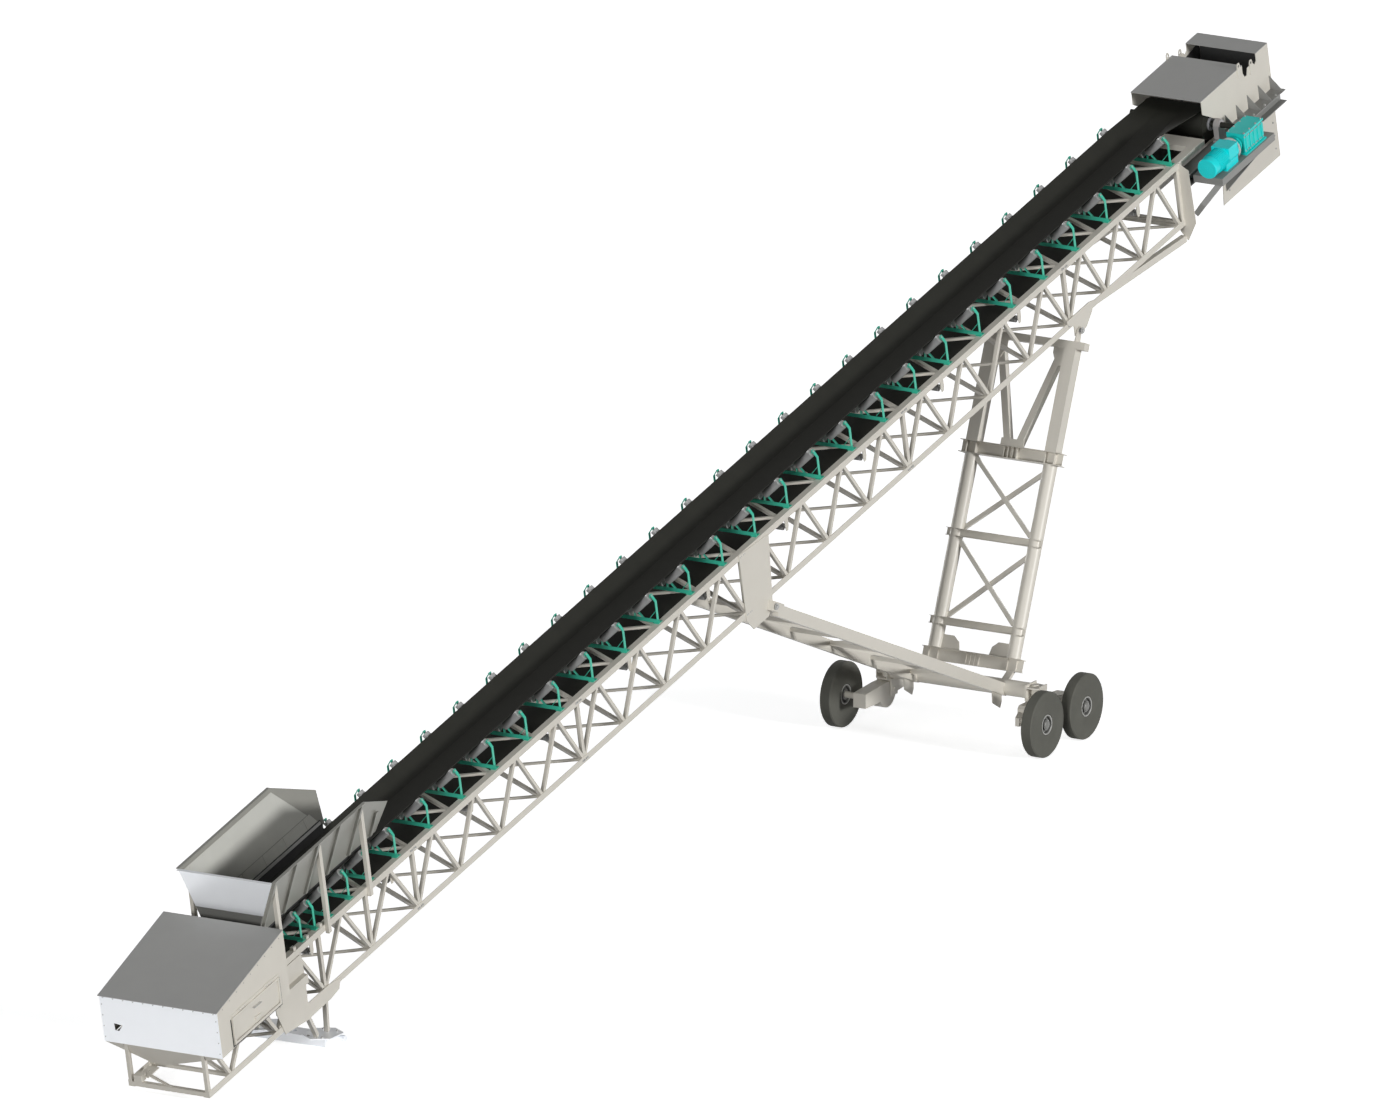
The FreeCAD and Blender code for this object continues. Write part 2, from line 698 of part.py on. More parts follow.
def hopper_side(side):
    """A leaning side sheet with slanted ribs outside and a folded rim."""
    def at(u, z, extra=0.0):
        return V(u, side * (wall_y(z) + extra), z)
    rim_end = size("HopperRimEnd")
    low_rim = rim - size("HopperChamferDrop")
    tail_end = size("HopperTailEnd")
    outline = [at(hop_start, waist), at(hop_start, rim), at(rim_end, rim),
               at(size("HopperChamfer"), low_rim),
               at(tail_end, waist)]
    way = V(0, -side * sheet_wall, 0)
    pieces = [prism(outline, way)]
    fold = [V(hop_start, side * (rim_y - sheet_wall), rim), V(rim_end, side * (rim_y - sheet_wall), rim),
            V(rim_end, side * (rim_y + 45), rim), V(hop_start, side * (rim_y + 45), rim)]
    pieces.append(prism(fold, V(0, 0, -sheet_wall)))
    station = hop_start + 40
    while station < tail_end - 200:
        top = rim - sheet_wall
        if station > rim_end - 100:
            top = low_rim
        rib = [at(station, waist + 40), at(station + 60, waist + 40), at(station + 60, top),
               at(station, top)]
        deep = prism(rib, V(0, side * 45, 0))
        pieces.append(deep)
        station += size("RibSpacing")
    return joined(pieces)


feature("hopper_side_near", hopper_side(-1))
feature("hopper_side_far", hopper_side(1))


def hopper_front():
    """The low end sheet between the side sheets, with a lip set back below it."""
    lip = size("HopperLip")
    t = sheet_wall
    y_top = rim_y - t
    y_lip = wall_y(lip) - t
    sheet_up = prism([V(hop_start - t, -y_top - t, rim), V(hop_start - t, y_top + t, rim),
                      V(hop_start - t, y_lip + t, lip), V(hop_start - t, -y_lip - t, lip)], V(t, 0, 0))
    low = waist + 70
    lip_sheet = prism([V(hop_start, -y_lip, lip), V(hop_start, y_lip, lip),
                       V(hop_start, wall_y(low) - t, low),
                       V(hop_start, -wall_y(low) + t, low)], V(60, 0, 0))
    cut = block(hop_start + t, hop_start + 61, -rim_y, rim_y, low - 1, lip - t)
    fold = block(hop_start - t - 50, hop_start - t, -y_top - t, y_top + t, rim - t, rim)
    return joined([sheet_up, lip_sheet.cut(cut), fold])


feature("hopper_front", hopper_front())


def hopper_post(u, side, foot):
    """A flat post up the truss's outside to the leaning sheet."""
    inside = half
    out = half + size("PostDepth")
    outline = [V(u, side * inside, foot), V(u, side * out, foot),
               V(u, side * out, waist + (out - waist_y) / lean_out),
               V(u, side * inside, waist + (inside - waist_y) / lean_out)]
    return prism(outline, V(size("PostWidth"), 0, 0))


posts = []
for side in (-1, 1):
    for u in (hop_start + 120, 3710.0, 4970.0):
        posts.append(hopper_post(u, side, -leg - 40))
feature("hopper_posts", group(posts))


# ---- tail support: boot plates, legs and pivot base -------------------------------------

def boot_plate(side):
    """The plate on the truss's side that the pivot legs and tail box hang from."""
    points = [(2090, -710), (2940, -leg), (2985, -530), (2965, -948), (3600, -948), (3936, -1000),
              (3865, -1150),
              (3615, -1190), (2900, -1200), (2260, -1115)]
    outline = [V(u, side * half, v) for u, v in points]
    return prism(outline, V(0, side * 12, 0))


feature("boot_plates", group([boot_plate(-1), boot_plate(1)]))

beam_top = size("PivotBeam")
pivot_half = size("PivotWidth") / 2


def pivot_legs():
    """Four slanting legs from the truss's bottom chords down to the pivot base."""
    legs = []
    for side in (-1, 1):
        y = side * (half - 60)
        foot_y = side * (pivot_half - 250)
        for u, foot_x in ((3560.0, 110.0), (2950.0, -190.0)):
            top = on_ground(u, y, -depth + 8)
            low = V(foot_x, foot_y, beam_top + size("PivotPlate"))
            way = low - top
            rise = top.z - low.z
            legs.append(bar(top, low + way * (-20 / rise), 70, 60, V(0, 1, 0)))
    return legs


def trim_between(shape, low_z, plane_top):
    """Cut a leg flat on the base and along the underside of the bottom chord."""
    keep = block(-3000, 3000, -2000, 2000, low_z, 3000)
    shape = shape.common(keep)
    above = Part.makeBox(9000, 4000, 900, V(0, -2000, 0))
    above.Placement = FreeCAD.Placement(tail + square * plane_top - V(0, 0, 0),
                                        FreeCAD.Rotation(V(0, -1, 0), size("Incline")))
    return shape.cut(above)


legs = [trim_between(leg_bar, beam_top + size("PivotPlate"), -depth) for leg_bar in pivot_legs()]
feature("pivot_legs", group(legs), tilted=False)


def pivot_base():
    """A ground beam with two six-sided plates, an end tube and the anchor bore."""
    t = size("PivotPlate")
    body = block(-180, 180, -pivot_half + 110, pivot_half - 110, 0, beam_top)
    pieces = [body]
    for side in (-1, 1):
        y = side * (pivot_half - 260)
        corners = [(-370, 0), (-200, 250), (200, 250), (370, 0), (200, -250), (-200, -250)]
        outline = [V(a, y + b, beam_top) for a, b in corners]
        pieces.append(prism(outline, V(0, 0, t)))
    tube = rod(V(230, -pivot_half, size("PivotTube") / 2 + 10),
               V(230, pivot_half, size("PivotTube") / 2 + 10),
               size("PivotTube"))
    web = block(150, 230, -pivot_half + 110, pivot_half - 110, 30, 90)
    pieces.extend([tube, web])
    whole = joined(pieces)
    return whole.cut(rod(V(0, 0, -10), V(0, 0, beam_top + t + 10), size("PivotBore")))


feature("pivot_base", pivot_base(), tilted=False)


# ---- mid plates and struts ----------------------------------------------------------------

strut_pin = V(size("StrutPinX"), 0, size("StrutPinRise"))
axle = V(size("AxleX"), 0, size("AxleRise"))
strut_y = size("StrutSpread") / 2
tube_radius = size("AxleDiameter") / 2
axle_half = size("AxleLength") / 2


def mid_plate(side):
    """A deep plate over the truss's side with the strut's pin hole at its foot."""
    pin_at = on_belt(strut_pin.x, 0, strut_pin.z)
    points = [(-690, 0), (210, -70), (90, pin_at.z - 7), (-70, pin_at.z - 147), (-520, pin_at.z - 147),
              (-690, pin_at.z + 73)]
    outline = [V(pin_at.x + u, side * half, v) for u, v in points]
    plate = prism(outline, V(0, side * 14, 0))
    hole = rod(V(pin_at.x, side * (half - 50), pin_at.z), V(pin_at.x, side * (half + 200), pin_at.z), 62)
    return plate.cut(hole)


feature("mid_plates", group([mid_plate(-1), mid_plate(1)]))


def strut_pins():
    """The pins that hold the struts' heads to the mid plates."""
    pins = []
    for side in (-1, 1):
        pins.append(rod(V(strut_pin.x, side * (half - 20), strut_pin.z),
                        V(strut_pin.x, side * (strut_y + size("StrutWidth") / 2 + 25), strut_pin.z), 61.6))
    return pins


def struts():
    """Two deep beams from the mid plates down to the axle, laced together."""
    way = axle - strut_pin
    way.normalize()
    under = V(way.z, 0, -way.x) * size("StrutDrop")
    foot = axle
    wide = size("StrutWidth")
    deep = size("StrutDepth")
    pieces = []
    for side in (-1, 1):
        y_in = V(0, side * (half + 14 + wide / 2 + 1), 0)
        pieces.append(bar(strut_pin + way * 120 + y_in + under, foot + y_in + under, wide, deep, V(0, 1, 0)))
        pieces.append(bar(strut_pin - way * 60 + y_in, strut_pin + way * 260 + y_in, wide, 150, V(0, 1, 0)))
    panels = 5
    begin = strut_pin + way * 700
    step = (foot - way * 300 - begin) * (1 / panels)
    reach = half + 14
    for k in range(panels):
        a = begin + step * k
        b = begin + step * (k + 1)
        side = 1 if k % 2 else -1
        pieces.append(bar(a + V(0, side * reach, 0), b - V(0, side * reach, 0), 60, 60, V(0, 0, 1)))
        pieces.append(bar(a + V(0, side * reach, 0), a - V(0, side * reach, 0), 60, 60, V(0, 0, 1)))
    pieces.append(bar(begin + step * panels + V(0, reach, 0), begin + step * panels - V(0, reach, 0), 60,
                      60, V(0, 0, 1)))
    whole = joined(pieces)
    tube = rod(V(axle.x, -axle_half, axle.z), V(axle.x, axle_half, axle.z), 2 * (tube_radius + seat))
    behind = block(axle.x, axle.x + 400, -axle_half, axle_half, 0, 2000)
    whole = whole.cut(tube.fuse(behind))
    for side in (-1, 1):
        whole = whole.cut(rod(V(strut_pin.x, side * (half - 50), strut_pin.z),
                              V(strut_pin.x, side * (half + 250), strut_pin.z), 62))
    return whole


strut_frame = struts()
feature("struts", strut_frame, tilted=False)


# ---- mast -----------------------------------------------------------------------------------

leg_pin = V(size("LegPinX"), 0, size("LegPinRise"))
leg_foot = V(size("LegFootX"), 0, size("LegFootRise"))
leg_y = size("LegSpread") / 2
lean = leg_pin - leg_foot
mast_up = V(lean)
mast_up.normalize()
pipe_radius = size("LegPipe") / 2


def mast_at(z, y):
    """A point in the mast's plane at a height and a distance to the side."""
    share = (z - leg_foot.z) / lean.z
    return leg_foot + lean * share + V(0, y, 0)


LEVELS = {"foot": 1065.0, "low": 1535.0, "middle": 2800.0, "high": 4030.0, "top": 5660.0}
forward = V(mast_up.z, 0, -mast_up.x)
mast_plate = 12
beam_over = leg_y + pipe_radius + 80
foot_deep = 200
high_deep = 200
top_deep = 120


def mast_prism(level, points, way):
    """An outline in the plane square to the cross beams, carried sideways from one end."""
    centre = mast_at(level, 0)
    return prism([centre - way / 2 + forward * a + mast_up * b for a, b in points], way)


def unequal_beam(level, top_width, low_width, deep, over):
    """An I beam across the mast, square to the legs, with flanges of two widths."""
    w = top_width / 2
    v = low_width / 2
    d = deep / 2
    t = mast_plate / 2
    outline = [(-v, -d), (v, -d), (v, 2 * t - d), (t, 2 * t - d), (t, d - 2 * t), (w, d - 2 * t),
               (w, d), (-w, d), (-w, d - 2 * t), (-t, d - 2 * t), (-t, 2 * t - d), (-v, 2 * t - d)]
    return mast_prism(level, outline, V(0, 2 * over, 0))


def stiffeners(level, wide, deep):
    """Upright plates between a beam's flanges, in the middle and over the legs."""
    plates = []
    a = wide / 2 - 6
    b = deep / 2 - mast_plate
    for y in (-110, -40, 40, 110, leg_y - 80, leg_y + 80, -leg_y - 80, -leg_y + 80):
        plate = mast_prism(level, [(a, b), (-a, b), (-a, -b), (a, -b)], V(0, 10, 0))
        plates.append(plate.translated(V(0, y, 0)))
    return plates


def mast_channel(level):
    """A channel across the front of both pipes, its flanges turned away from them."""
    front = -pipe_radius - 10
    t = 8
    outline = [(front, -60), (front, -60 + t), (front + 60, -60 + t), (front + 60, 60 - t), (front, 60 - t),
               (front, 60), (front + 60 + t, 60), (front + 60 + t, -60)]
    return mast_prism(level, outline, V(0, 2 * (beam_over - 50), 0))


foot_beam = joined([unequal_beam(LEVELS["foot"], 140, 66, foot_deep, beam_over)] +
                   stiffeners(LEVELS["foot"], 66, foot_deep))
high_beam = joined([unequal_beam(LEVELS["high"], 220, 220, high_deep, beam_over)] +
                   stiffeners(LEVELS["high"], 180, high_deep))
top_beam = mast_prism(LEVELS["top"], [(-80, -60), (80, -60), (80, 60), (-80, 60)],
                      V(0, 2 * (leg_y + 230), 0))


def between(shape, low, high):
    """Trim a leg between two planes square to the mast."""
    bottom = mast_at(low, 0)
    span = (mast_at(high, 0) - bottom).Length
    slab = Part.makeBox(1600, 4000, span, V(-800, -2000, 0))
    slab.Placement = FreeCAD.Placement(bottom, FreeCAD.Rotation(V(0, 0, 1), mast_up))
    return shape.common(slab)


unit = mast_up.z
foot_top = LEVELS["foot"] + foot_deep / 2 * unit
high_low = LEVELS["high"] - high_deep / 2 * unit
high_top = LEVELS["high"] + high_deep / 2 * unit
top_low = LEVELS["top"] - top_deep / 2 * unit
mast_tubes = []
for side in (-1, 1):
    y = side * leg_y
    mast_tubes.append(between(rod(mast_at(foot_top - 50, y), mast_at(high_low + 50, y), size("LegPipe")),
                              foot_top, high_low))
    mast_tubes.append(between(bar(mast_at(high_top - 50, y), mast_at(top_low + 50, y), size("LegTube"),
                                  size("LegTube"), V(0, 1, 0)), high_top, top_low))
feature("mast_legs", group(mast_tubes), tilted=False)


def v_brace(side):
    """A box brace from a leg's head down to the middle of the high beam."""
    start = mast_at(high_top, side * 85)
    end = mast_at(top_low - 150, side * (leg_y - 190))
    raw = bar(start - (end - start) * 0.1, end + (end - start) * 0.06, 120, 110, forward)
    inside = block(leg_foot.x - 3000, leg_pin.x + 3000, -leg_y + size("LegTube") / 2,
                   leg_y - size("LegTube") / 2,
                   0, 9000)
    return between(raw, high_top, top_low).common(inside)


feature("mast_v_braces", joined([v_brace(-1), v_brace(1)]), tilted=False)


def x_brace(low, high):
    """Two diagonals between the pipes, one in front of the other, joined where they cross."""
    inner = leg_y - pipe_radius + 12
    front = bar(mast_at(low + 95, -inner), mast_at(high - 100, inner), 50, 70, forward)
    back = bar(mast_at(high - 190, -inner), mast_at(low + 85, inner), 50, 70, forward)
    return joined([front.translated(forward * -25), back.translated(forward * 25)])


pipes = group([mast_tubes[0], mast_tubes[2]])
braces = [mast_channel(LEVELS[name]).cut(pipes) for name in ("low", "middle")]
for low, high in ((LEVELS["low"], LEVELS["middle"]), (LEVELS["middle"], high_low + 60)):
    braces.append(x_brace(low, high).cut(pipes))
feature("mast_x_braces", group(braces), tilted=False)


def mast_plate_at(points, front):
    """A flat plate in the mast's plane, given by heights and distances to the side."""
    outline = [mast_at(z, y) + forward * front for z, y in points]
    return prism(outline, forward * 14)


def foot_gussets():
    """Trapezoid plates that stand on the foot beam beside each pipe."""
    plates = []
    for side in (-1, 1):
        outer = leg_y - pipe_radius + 10
        points = [(foot_top, side * outer), (foot_top, side * (outer - 330)),
                  (foot_top + 130 * unit, side * (outer - 300)),
                  (foot_top + 215 * unit, side * (outer - 200)),
                  (foot_top + 215 * unit, side * outer)]
        plates.append(mast_plate_at(points, -7).cut(pipes))
    return plates


def head_gussets():
    """Plates below the top beam, in front of the V braces' heads."""
    plates = []
    for side in (-1, 1):
        outer = leg_y - size("LegTube") / 2
        points = [(top_low, side * outer), (top_low, side * (outer - 190)),
                  (top_low - 90, side * (outer - 190)),
                  (top_low - 260, side * (outer - 100)), (top_low - 260, side * outer)]
        plates.append(mast_plate_at(points, -74))
    return plates


def leg_lugs():
    """Lugs on the top beam that reach up to the truss's pins."""
    lugs = []
    for side in (-1, 1):
        y = side * (half + 40)
        low = mast_at(LEVELS["top"] + top_deep / 2 * unit, y)
        a = forward * 80
        outline = [low + a, low - a, leg_pin + V(0, y, 0) - a * 0.7, leg_pin + V(0, y, 0) + mast_up * 60,
                   leg_pin + V(0, y, 0) + a * 0.7]
        lug = prism(outline, V(0, 24, 0))
        lug.translate(V(0, -12, 0))
        lugs.append(lug.cut(rod(leg_pin + V(0, y - 40, 0), leg_pin + V(0, y + 40, 0), 60)))
    return lugs


v_seat = mast_plate_at([(high_top, -200), (high_top, 200), (high_top + 110 * unit, 200),
                        (high_top + 110 * unit, -200)], -74)
foot_whole = joined([foot_beam] + foot_gussets())
high_whole = joined([high_beam, v_seat])
top_whole = joined([top_beam] + leg_lugs() + head_gussets())
feature("mast_beams", group([foot_whole, high_whole, top_whole]), tilted=False)
pins = strut_pins()
for side in (-1, 1):
    pins.append(rod(V(leg_pin.x, side * (half - 40), leg_pin.z),
                    V(leg_pin.x, side * (half + 90), leg_pin.z), 59.6))
feature("frame_pins", group(pins), tilted=False)


def truss_lug(side):
    """The plate on the bottom chord that takes the mast's pin."""
    at = on_belt(leg_pin.x, 0, leg_pin.z)
    points = [(-280, -depth + 160), (-280, -depth + 95), (-95, -depth - 20), (-100, at.z - 50),
              (-40, at.z - 105), (70, at.z - 105), (270, at.z - 65), (470, -depth - 16), (540, -depth + 130),
              (400, -depth + 160)]
    outline = [V(at.x + u, side * half, v) for u, v in points]
    plate = prism(outline, V(0, side * 16, 0))
    return plate.cut(rod(V(at.x, side * (half - 60), at.z), V(at.x, side * (half + 120), at.z), 60))


feature("truss_lugs", group([truss_lug(-1), truss_lug(1)]))


# ---- axle and bogies --------------------------------------------------------------------------

king_y = size("KingpinOut")
king = size("KingpinDiameter")
run = size("RunningGap")
bogie_top = size("BogieTop")
bogie_half = size("BogieWidth") / 2
saddle_top = bogie_top + run + 20
fork_low = saddle_top + seat
fork_plate = 20
fork_high = fork_low + fork_plate + 170

axle_tube = solid_of("Part::Cylinder", "axle_bar", {
    "Radius": "Sizes.AxleDiameter / 2", "Height": "Sizes.AxleLength - 40"})
axle_tube.Placement = FreeCAD.Placement(V(axle.x, axle_half - 20, axle.z), FreeCAD.Rotation(V(1, 0, 0), 90))
axle_tube.setExpression(".Placement.Base.x", "Sizes.AxleX")
axle_tube.setExpression(".Placement.Base.y", "Sizes.AxleLength / 2 - 20")
axle_tube.setExpression(".Placement.Base.z", "Sizes.AxleRise")
axle_tube.Label = "axle_tube"
NODES["axle_tube"] = axle_tube


def fork(side):
    """An end plate on the axle with two plates that hold the kingpin."""
    inside = axle_half - 20
    end = king_y + 120
    y = sorted((side * inside, side * (inside + 20)))
    plate = block(axle.x - 170, axle.x + 170, y[0], y[1], fork_low, axle.z + tube_radius)
    pieces = [plate]
    for z in (fork_low, fork_high):
        a = side * inside
        outline = [V(axle.x - 170, a, z), V(axle.x + 170, a, z), V(axle.x + 130, side * end, z),
                   V(axle.x - 130, side * end, z)]
        pieces.append(prism(outline, V(0, 0, fork_plate)))
    rim = sorted((side * end, side * (end + 16)))
    pieces.append(block(axle.x - 110, axle.x + 110, rim[0], rim[1], fork_low, axle.z + tube_radius - 10))
    whole = joined(pieces)
    bore = rod(V(axle.x, side * king_y, fork_low - 5), V(axle.x, side * king_y, fork_high + 50), king + 0.1)
    return whole.cut(bore)


def mast_shoe(side):
    """A shoe welded on the axle tube that carries the foot beam."""
    y = side * leg_y
    under_beam = mast_at(LEVELS["foot"], y - 60) - mast_up * foot_deep / 2
    tube = rod(V(axle.x, -axle_half, axle.z), V(axle.x, axle_half, axle.z), 2 * (tube_radius + seat))
    outline = [V(axle.x - 20, y - 60, axle.z), V(axle.x + 110, y - 60, axle.z), under_beam + forward * 28,
               under_beam - forward * 33]
    return prism(outline, V(0, 120, 0)).cut(tube)


def strut_lug(side):
    """A three-cornered lug under the axle at a strut's foot."""
    y = side * (half + 14 + size("StrutWidth") / 2)
    tube = rod(V(axle.x, -axle_half, axle.z), V(axle.x, axle_half, axle.z), 2 * (tube_radius + seat))
    rear = axle.x - bogie_half - 20
    outline = [V(rear, y, axle.z + 60), V(rear - 294, y, axle.z + 60), V(rear - 274, y, axle.z - 160),
               V(rear - 44, y, axle.z - 290), V(rear, y, axle.z - 200)]
    return prism(outline, V(0, side * 16, 0)).cut(tube.fuse(strut_frame))


brackets = [make(side) for make in (fork, mast_shoe, strut_lug) for side in (-1, 1)]
feature("axle_brackets", group(brackets), tilted=False)


def saddle(side):
    """The swinging saddle: kingpin, top plate and two cheeks that hold the walking beam."""
    y = side * king_y
    cheek = bogie_half + run
    pieces = [block(axle.x - 100, axle.x + 100, y - cheek - 14, y + cheek + 14, bogie_top + run, saddle_top)]
    for face in (-1, 1):
        y0 = y + face * cheek
        y1 = y + face * (cheek + 14)
        pieces.append(block(axle.x - 100, axle.x + 100, min(y0, y1), max(y0, y1), 430, saddle_top))
    pieces.append(rod(V(axle.x, y, saddle_top - 5), V(axle.x, y, fork_high + fork_plate + 25), king))
    pieces.append(rod(V(axle.x, y, fork_low + fork_plate + seat), V(axle.x, y, fork_high - seat), king + 30))
    pieces.append(rod(V(axle.x, y - cheek - 30, 523), V(axle.x, y + cheek + 30, 523), 70))
    return joined(pieces)


feature("near_saddle", saddle(-1), tilted=False)
feature("far_saddle", saddle(1), tilted=False)
half_wheels = size("WheelSpacing") / 2
wheel_z = size("TyreDiameter") / 2
track_out = size("TrackWidth") / 2
tyre_width = size("TyreWidth")
wheel_y = track_out - tyre_width / 2


def walking_beam(side, way, ends):
    """A box beam with a round belly and stub axles out to the wheels; its long arm points one way."""
    y = side * king_y
    low = size("BogieUnder")
    outline = [(-375, low + 110), (-375, bogie_top - 45), (-330, bogie_top), (300, bogie_top),
               (850, bogie_top - 40),
               (850, low + 25), (500, low + 25)]
    box = prism([V(axle.x + way * a, y - bogie_half, z) for a, z in outline], V(0, 2 * bogie_half, 0))
    middle = axle.x + way * 170
    belly = rod(V(middle, y - bogie_half, 525), V(middle, y + bogie_half, 525), 510)
    belly = belly.common(block(axle.x - 500, axle.x + 500, y - bogie_half, y + bogie_half, 200, 525))
    pieces = [box, belly]
    for end in ends:
        x = axle.x + end * half_wheels
        pieces.append(rod(V(x, side * (king_y + bogie_half - 5), wheel_z),
                          V(x, side * (track_out - 20), wheel_z), size("StubDiameter")))
        if end != way:
            arm = [(-350, -bogie_half), (-350, bogie_half), (-half_wheels - 90, bogie_half),
                   (-half_wheels - 90, bogie_half - 70)]
            plan = [V(axle.x + way * a, side * (king_y + b), wheel_z - 70) for a, b in arm]
            pieces.append(prism(plan, V(0, 0, 130)))
    whole = joined(pieces)
    return whole.cut(rod(V(axle.x, y - 300, 523), V(axle.x, y + 300, 523), 70.4))


feature("near_walking_beam", walking_beam(-1, 1, (-1, 1)), tilted=False)
feature("far_walking_beam", walking_beam(1, -1, (-1,)), tilted=False)


# ---- wheels ---------------------------------------------------------------------------------

def revolved(label, points, x, y):
    """A body turned about its own axis, which then lies across the machine."""
    body = doc.addObject("PartDesign::Body", label)
    body.Label = label
    plane = [f for f in body.Origin.OriginFeatures if f.Role == "XZ_Plane"][0]
    sketch = body.newObject("Sketcher::SketchObject", label + "_outline")
    sketch.AttachmentSupport = [(plane, "")]
    sketch.MapMode = "FlatFace"
    for a, b in zip(points, points[1:] + points[:1]):
        sketch.addGeometry(Part.LineSegment(V(a[0], a[1], 0), V(b[0], b[1], 0)), False)
    turn = body.newObject("PartDesign::Revolution", label + "_turn")
    turn.Profile = sketch
    turn.ReferenceAxis = (sketch, ["V_Axis"])
    turn.Angle = 360
    sketch.Visibility = False
    body.Tip = turn
    body.Placement = FreeCAD.Placement(V(x, y, wheel_z), FreeCAD.Rotation(V(1, 0, 0), 90))
    NODES[label] = body
    return body


tyre_radius = size("TyreDiameter") / 2
rim_radius = size("RimDiameter") / 2
w = tyre_width / 2
bevel = size("TyreBevel")
tyre_outline = [(rim_radius, -w + bevel), (rim_radius + bevel, -w), (tyre_radius - bevel, -w),
                (tyre_radius, -w + bevel), (tyre_radius, w - bevel), (tyre_radius - bevel, w),
                (rim_radius + bevel, w), (rim_radius, w - bevel)]
bore = size("StubDiameter") / 2 + 0.05
hub_radius = size("HubDiameter") / 2
hub_outline = [(bore, -w + 10), (hub_radius, -w + 10), (hub_radius, -w + 60), (rim_radius - 25, -w + 60),
               (rim_radius - 25, -w + 14), (rim_radius - 0.3, -w + 14), (rim_radius - 0.3, w - 14),
               (rim_radius - 25, w - 14), (rim_radius - 25, w - 60), (hub_radius, w - 60),
               (hub_radius, w - 10),
               (bore, w - 10)]
for label, end, side in (("near_front", -1, -1), ("near_rear", 1, -1), ("far_front", -1, 1)):
    x = axle.x + end * half_wheels
    revolved(label + "_tyre", tyre_outline, x, side * wheel_y)
    revolved(label + "_hub", hub_outline, x, side * wheel_y)


# ---- head box ---------------------------------------------------------------------------------

head_top = size("HeadTop")
hood_start = length + size("HoodBeyond")
hood_end = hood_start + size("HoodLength")
front_start = hood_end + size("HoodSlot")
head_end = front_start + size("FrontBoxLength")
side_start = hood_start + size("SideSetback")
head_low = -size("HeadBottom")
slot_low = head_top - size("SlotDepth")


def head_side(side):
    """A tall side plate with the shaft's clearance at its rear and a slot at the top."""
    y = side * box_half
    outline = [(hood_start, head_top - sheet_wall), (hood_end, head_top - sheet_wall),
               (hood_end, slot_low + 80),
               (hood_end + 50, slot_low), (hood_end + 110, slot_low), (hood_end + 150, slot_low + 110),
               (front_start - 110, slot_low + 110), (front_start - 60, slot_low + 60),
               (front_start, slot_low + 100),
               (front_start, head_top - sheet_wall),
               (head_end - sheet_wall, head_top - sheet_wall), (head_end - sheet_wall, head_low),
               (side_start - 120, head_low), (side_start, -420), (side_start, 40), (hood_start, 320)]
    points = [V(u, y, v) for u, v in outline]
    return prism(points, V(0, -side * sheet_wall, 0))


feature("head_side_near", head_side(-1))
feature("head_side_far", head_side(1))
feature("head_hood", group([block(start, end, -box_half, box_half, head_top - sheet_wall, head_top)
                            for start, end in ((hood_start - 20, hood_end), (front_start, head_end))]))
feature("head_front",
        block(head_end - sheet_wall, head_end, -box_half, box_half, head_low, head_top - sheet_wall))


def shelf(side):
    """An I-shaped side shelf with gussets up to the head box."""
    y = side * (box_half + size("ShelfWidth") / 2)
    t = size("ShelfPlate")
    top = -size("ShelfTop")
    low = top - size("ShelfDepth")
    y0, y1 = sorted((side * box_half, side * shelf_out))
    start = length + sheet_wall + 4
    pieces = [block(start, head_end, y0, y1, top - t, top), block(start, head_end, y0, y1, low, low + t),
              block(start, head_end, y - t / 2, y + t / 2, low + t, top - t)]
    at = head_end - 60
    for k in range(5):
        outline = [V(at, side * box_half, top), V(at, side * (shelf_out - 10), top),
                   V(at, side * box_half, top + 230)]
        pieces.append(prism(outline, V(-t, 0, 0)))
        at -= size("GussetPitch")
    return joined(pieces)


feature("side_shelves", group([shelf(-1), shelf(1)]))
bearing_y = box_half + 80
head_bearings = [pillow(head_at, head_axis, side * bearing_y, -size("ShelfTop"), 90) for side in (-1, 1)]
feature("pulley_bearings", group(tail_bearings + head_bearings))


def end_plate(side):
    """The plate on the truss's head end that the shelf and platform bolt to."""
    y = side * half
    outline = [V(length, y, -20), V(length, y + side * 162, -120), V(length, y + side * 190, -1010),
               V(length, y + side * 20, -1330), V(length, y - side * 100, -1180),
               V(length, y - side * 100, -20)]
    return prism(outline, V(12, 0, 0))


def head_stay(side):
    """A stay under the last truss section, from the mast's lug to the head end plate's tip."""
    at = on_belt(leg_pin.x, 0, leg_pin.z)
    y = half - leg / 2
    raw = bar(V(at.x + 440, side * y, -depth + 72), V(length + 20, side * y, -depth - 233), 90, 110,
              V(0, 1, 0))
    return raw.common(block(0, length, -half, half, -2000, -depth))


ends_of_truss = [joined([end_plate(side), head_stay(side)]) for side in (-1, 1)]
feature("head_end_plates", group(ends_of_truss))


def lifting_lug(u, side, edge):
    """A small eye welded to the side plate's upper edge."""
    y = side * box_half
    plate = prism([V(u - 45, y, edge - 150), V(u + 45, y, edge - 150), V(u + 45, y, edge + 40),
                   V(u + 25, y, edge + 90), V(u - 25, y, edge + 90), V(u - 45, y, edge + 40)],
                  V(0, side * 14, 0))
    return plate.cut(rod(V(u, y - 40, edge + 40), V(u, y + 40, edge + 40), 50))


lugs = []
for side in (-1, 1):
    lugs.append(lifting_lug(hood_end - 120, side, head_top))
    lugs.append(lifting_lug(hood_end + 250, side, slot_low + 110))
feature("lifting_lugs", group(lugs))


# ---- drive ------------------------------------------------------------------------------------

deck_top = -size("DeckTop")
deck_start = length + size("DeckBeyond")
deck_end = deck_start + size("DeckLength")
deck_out = size("DeckReach")
drive_y = -size("DriveLine")


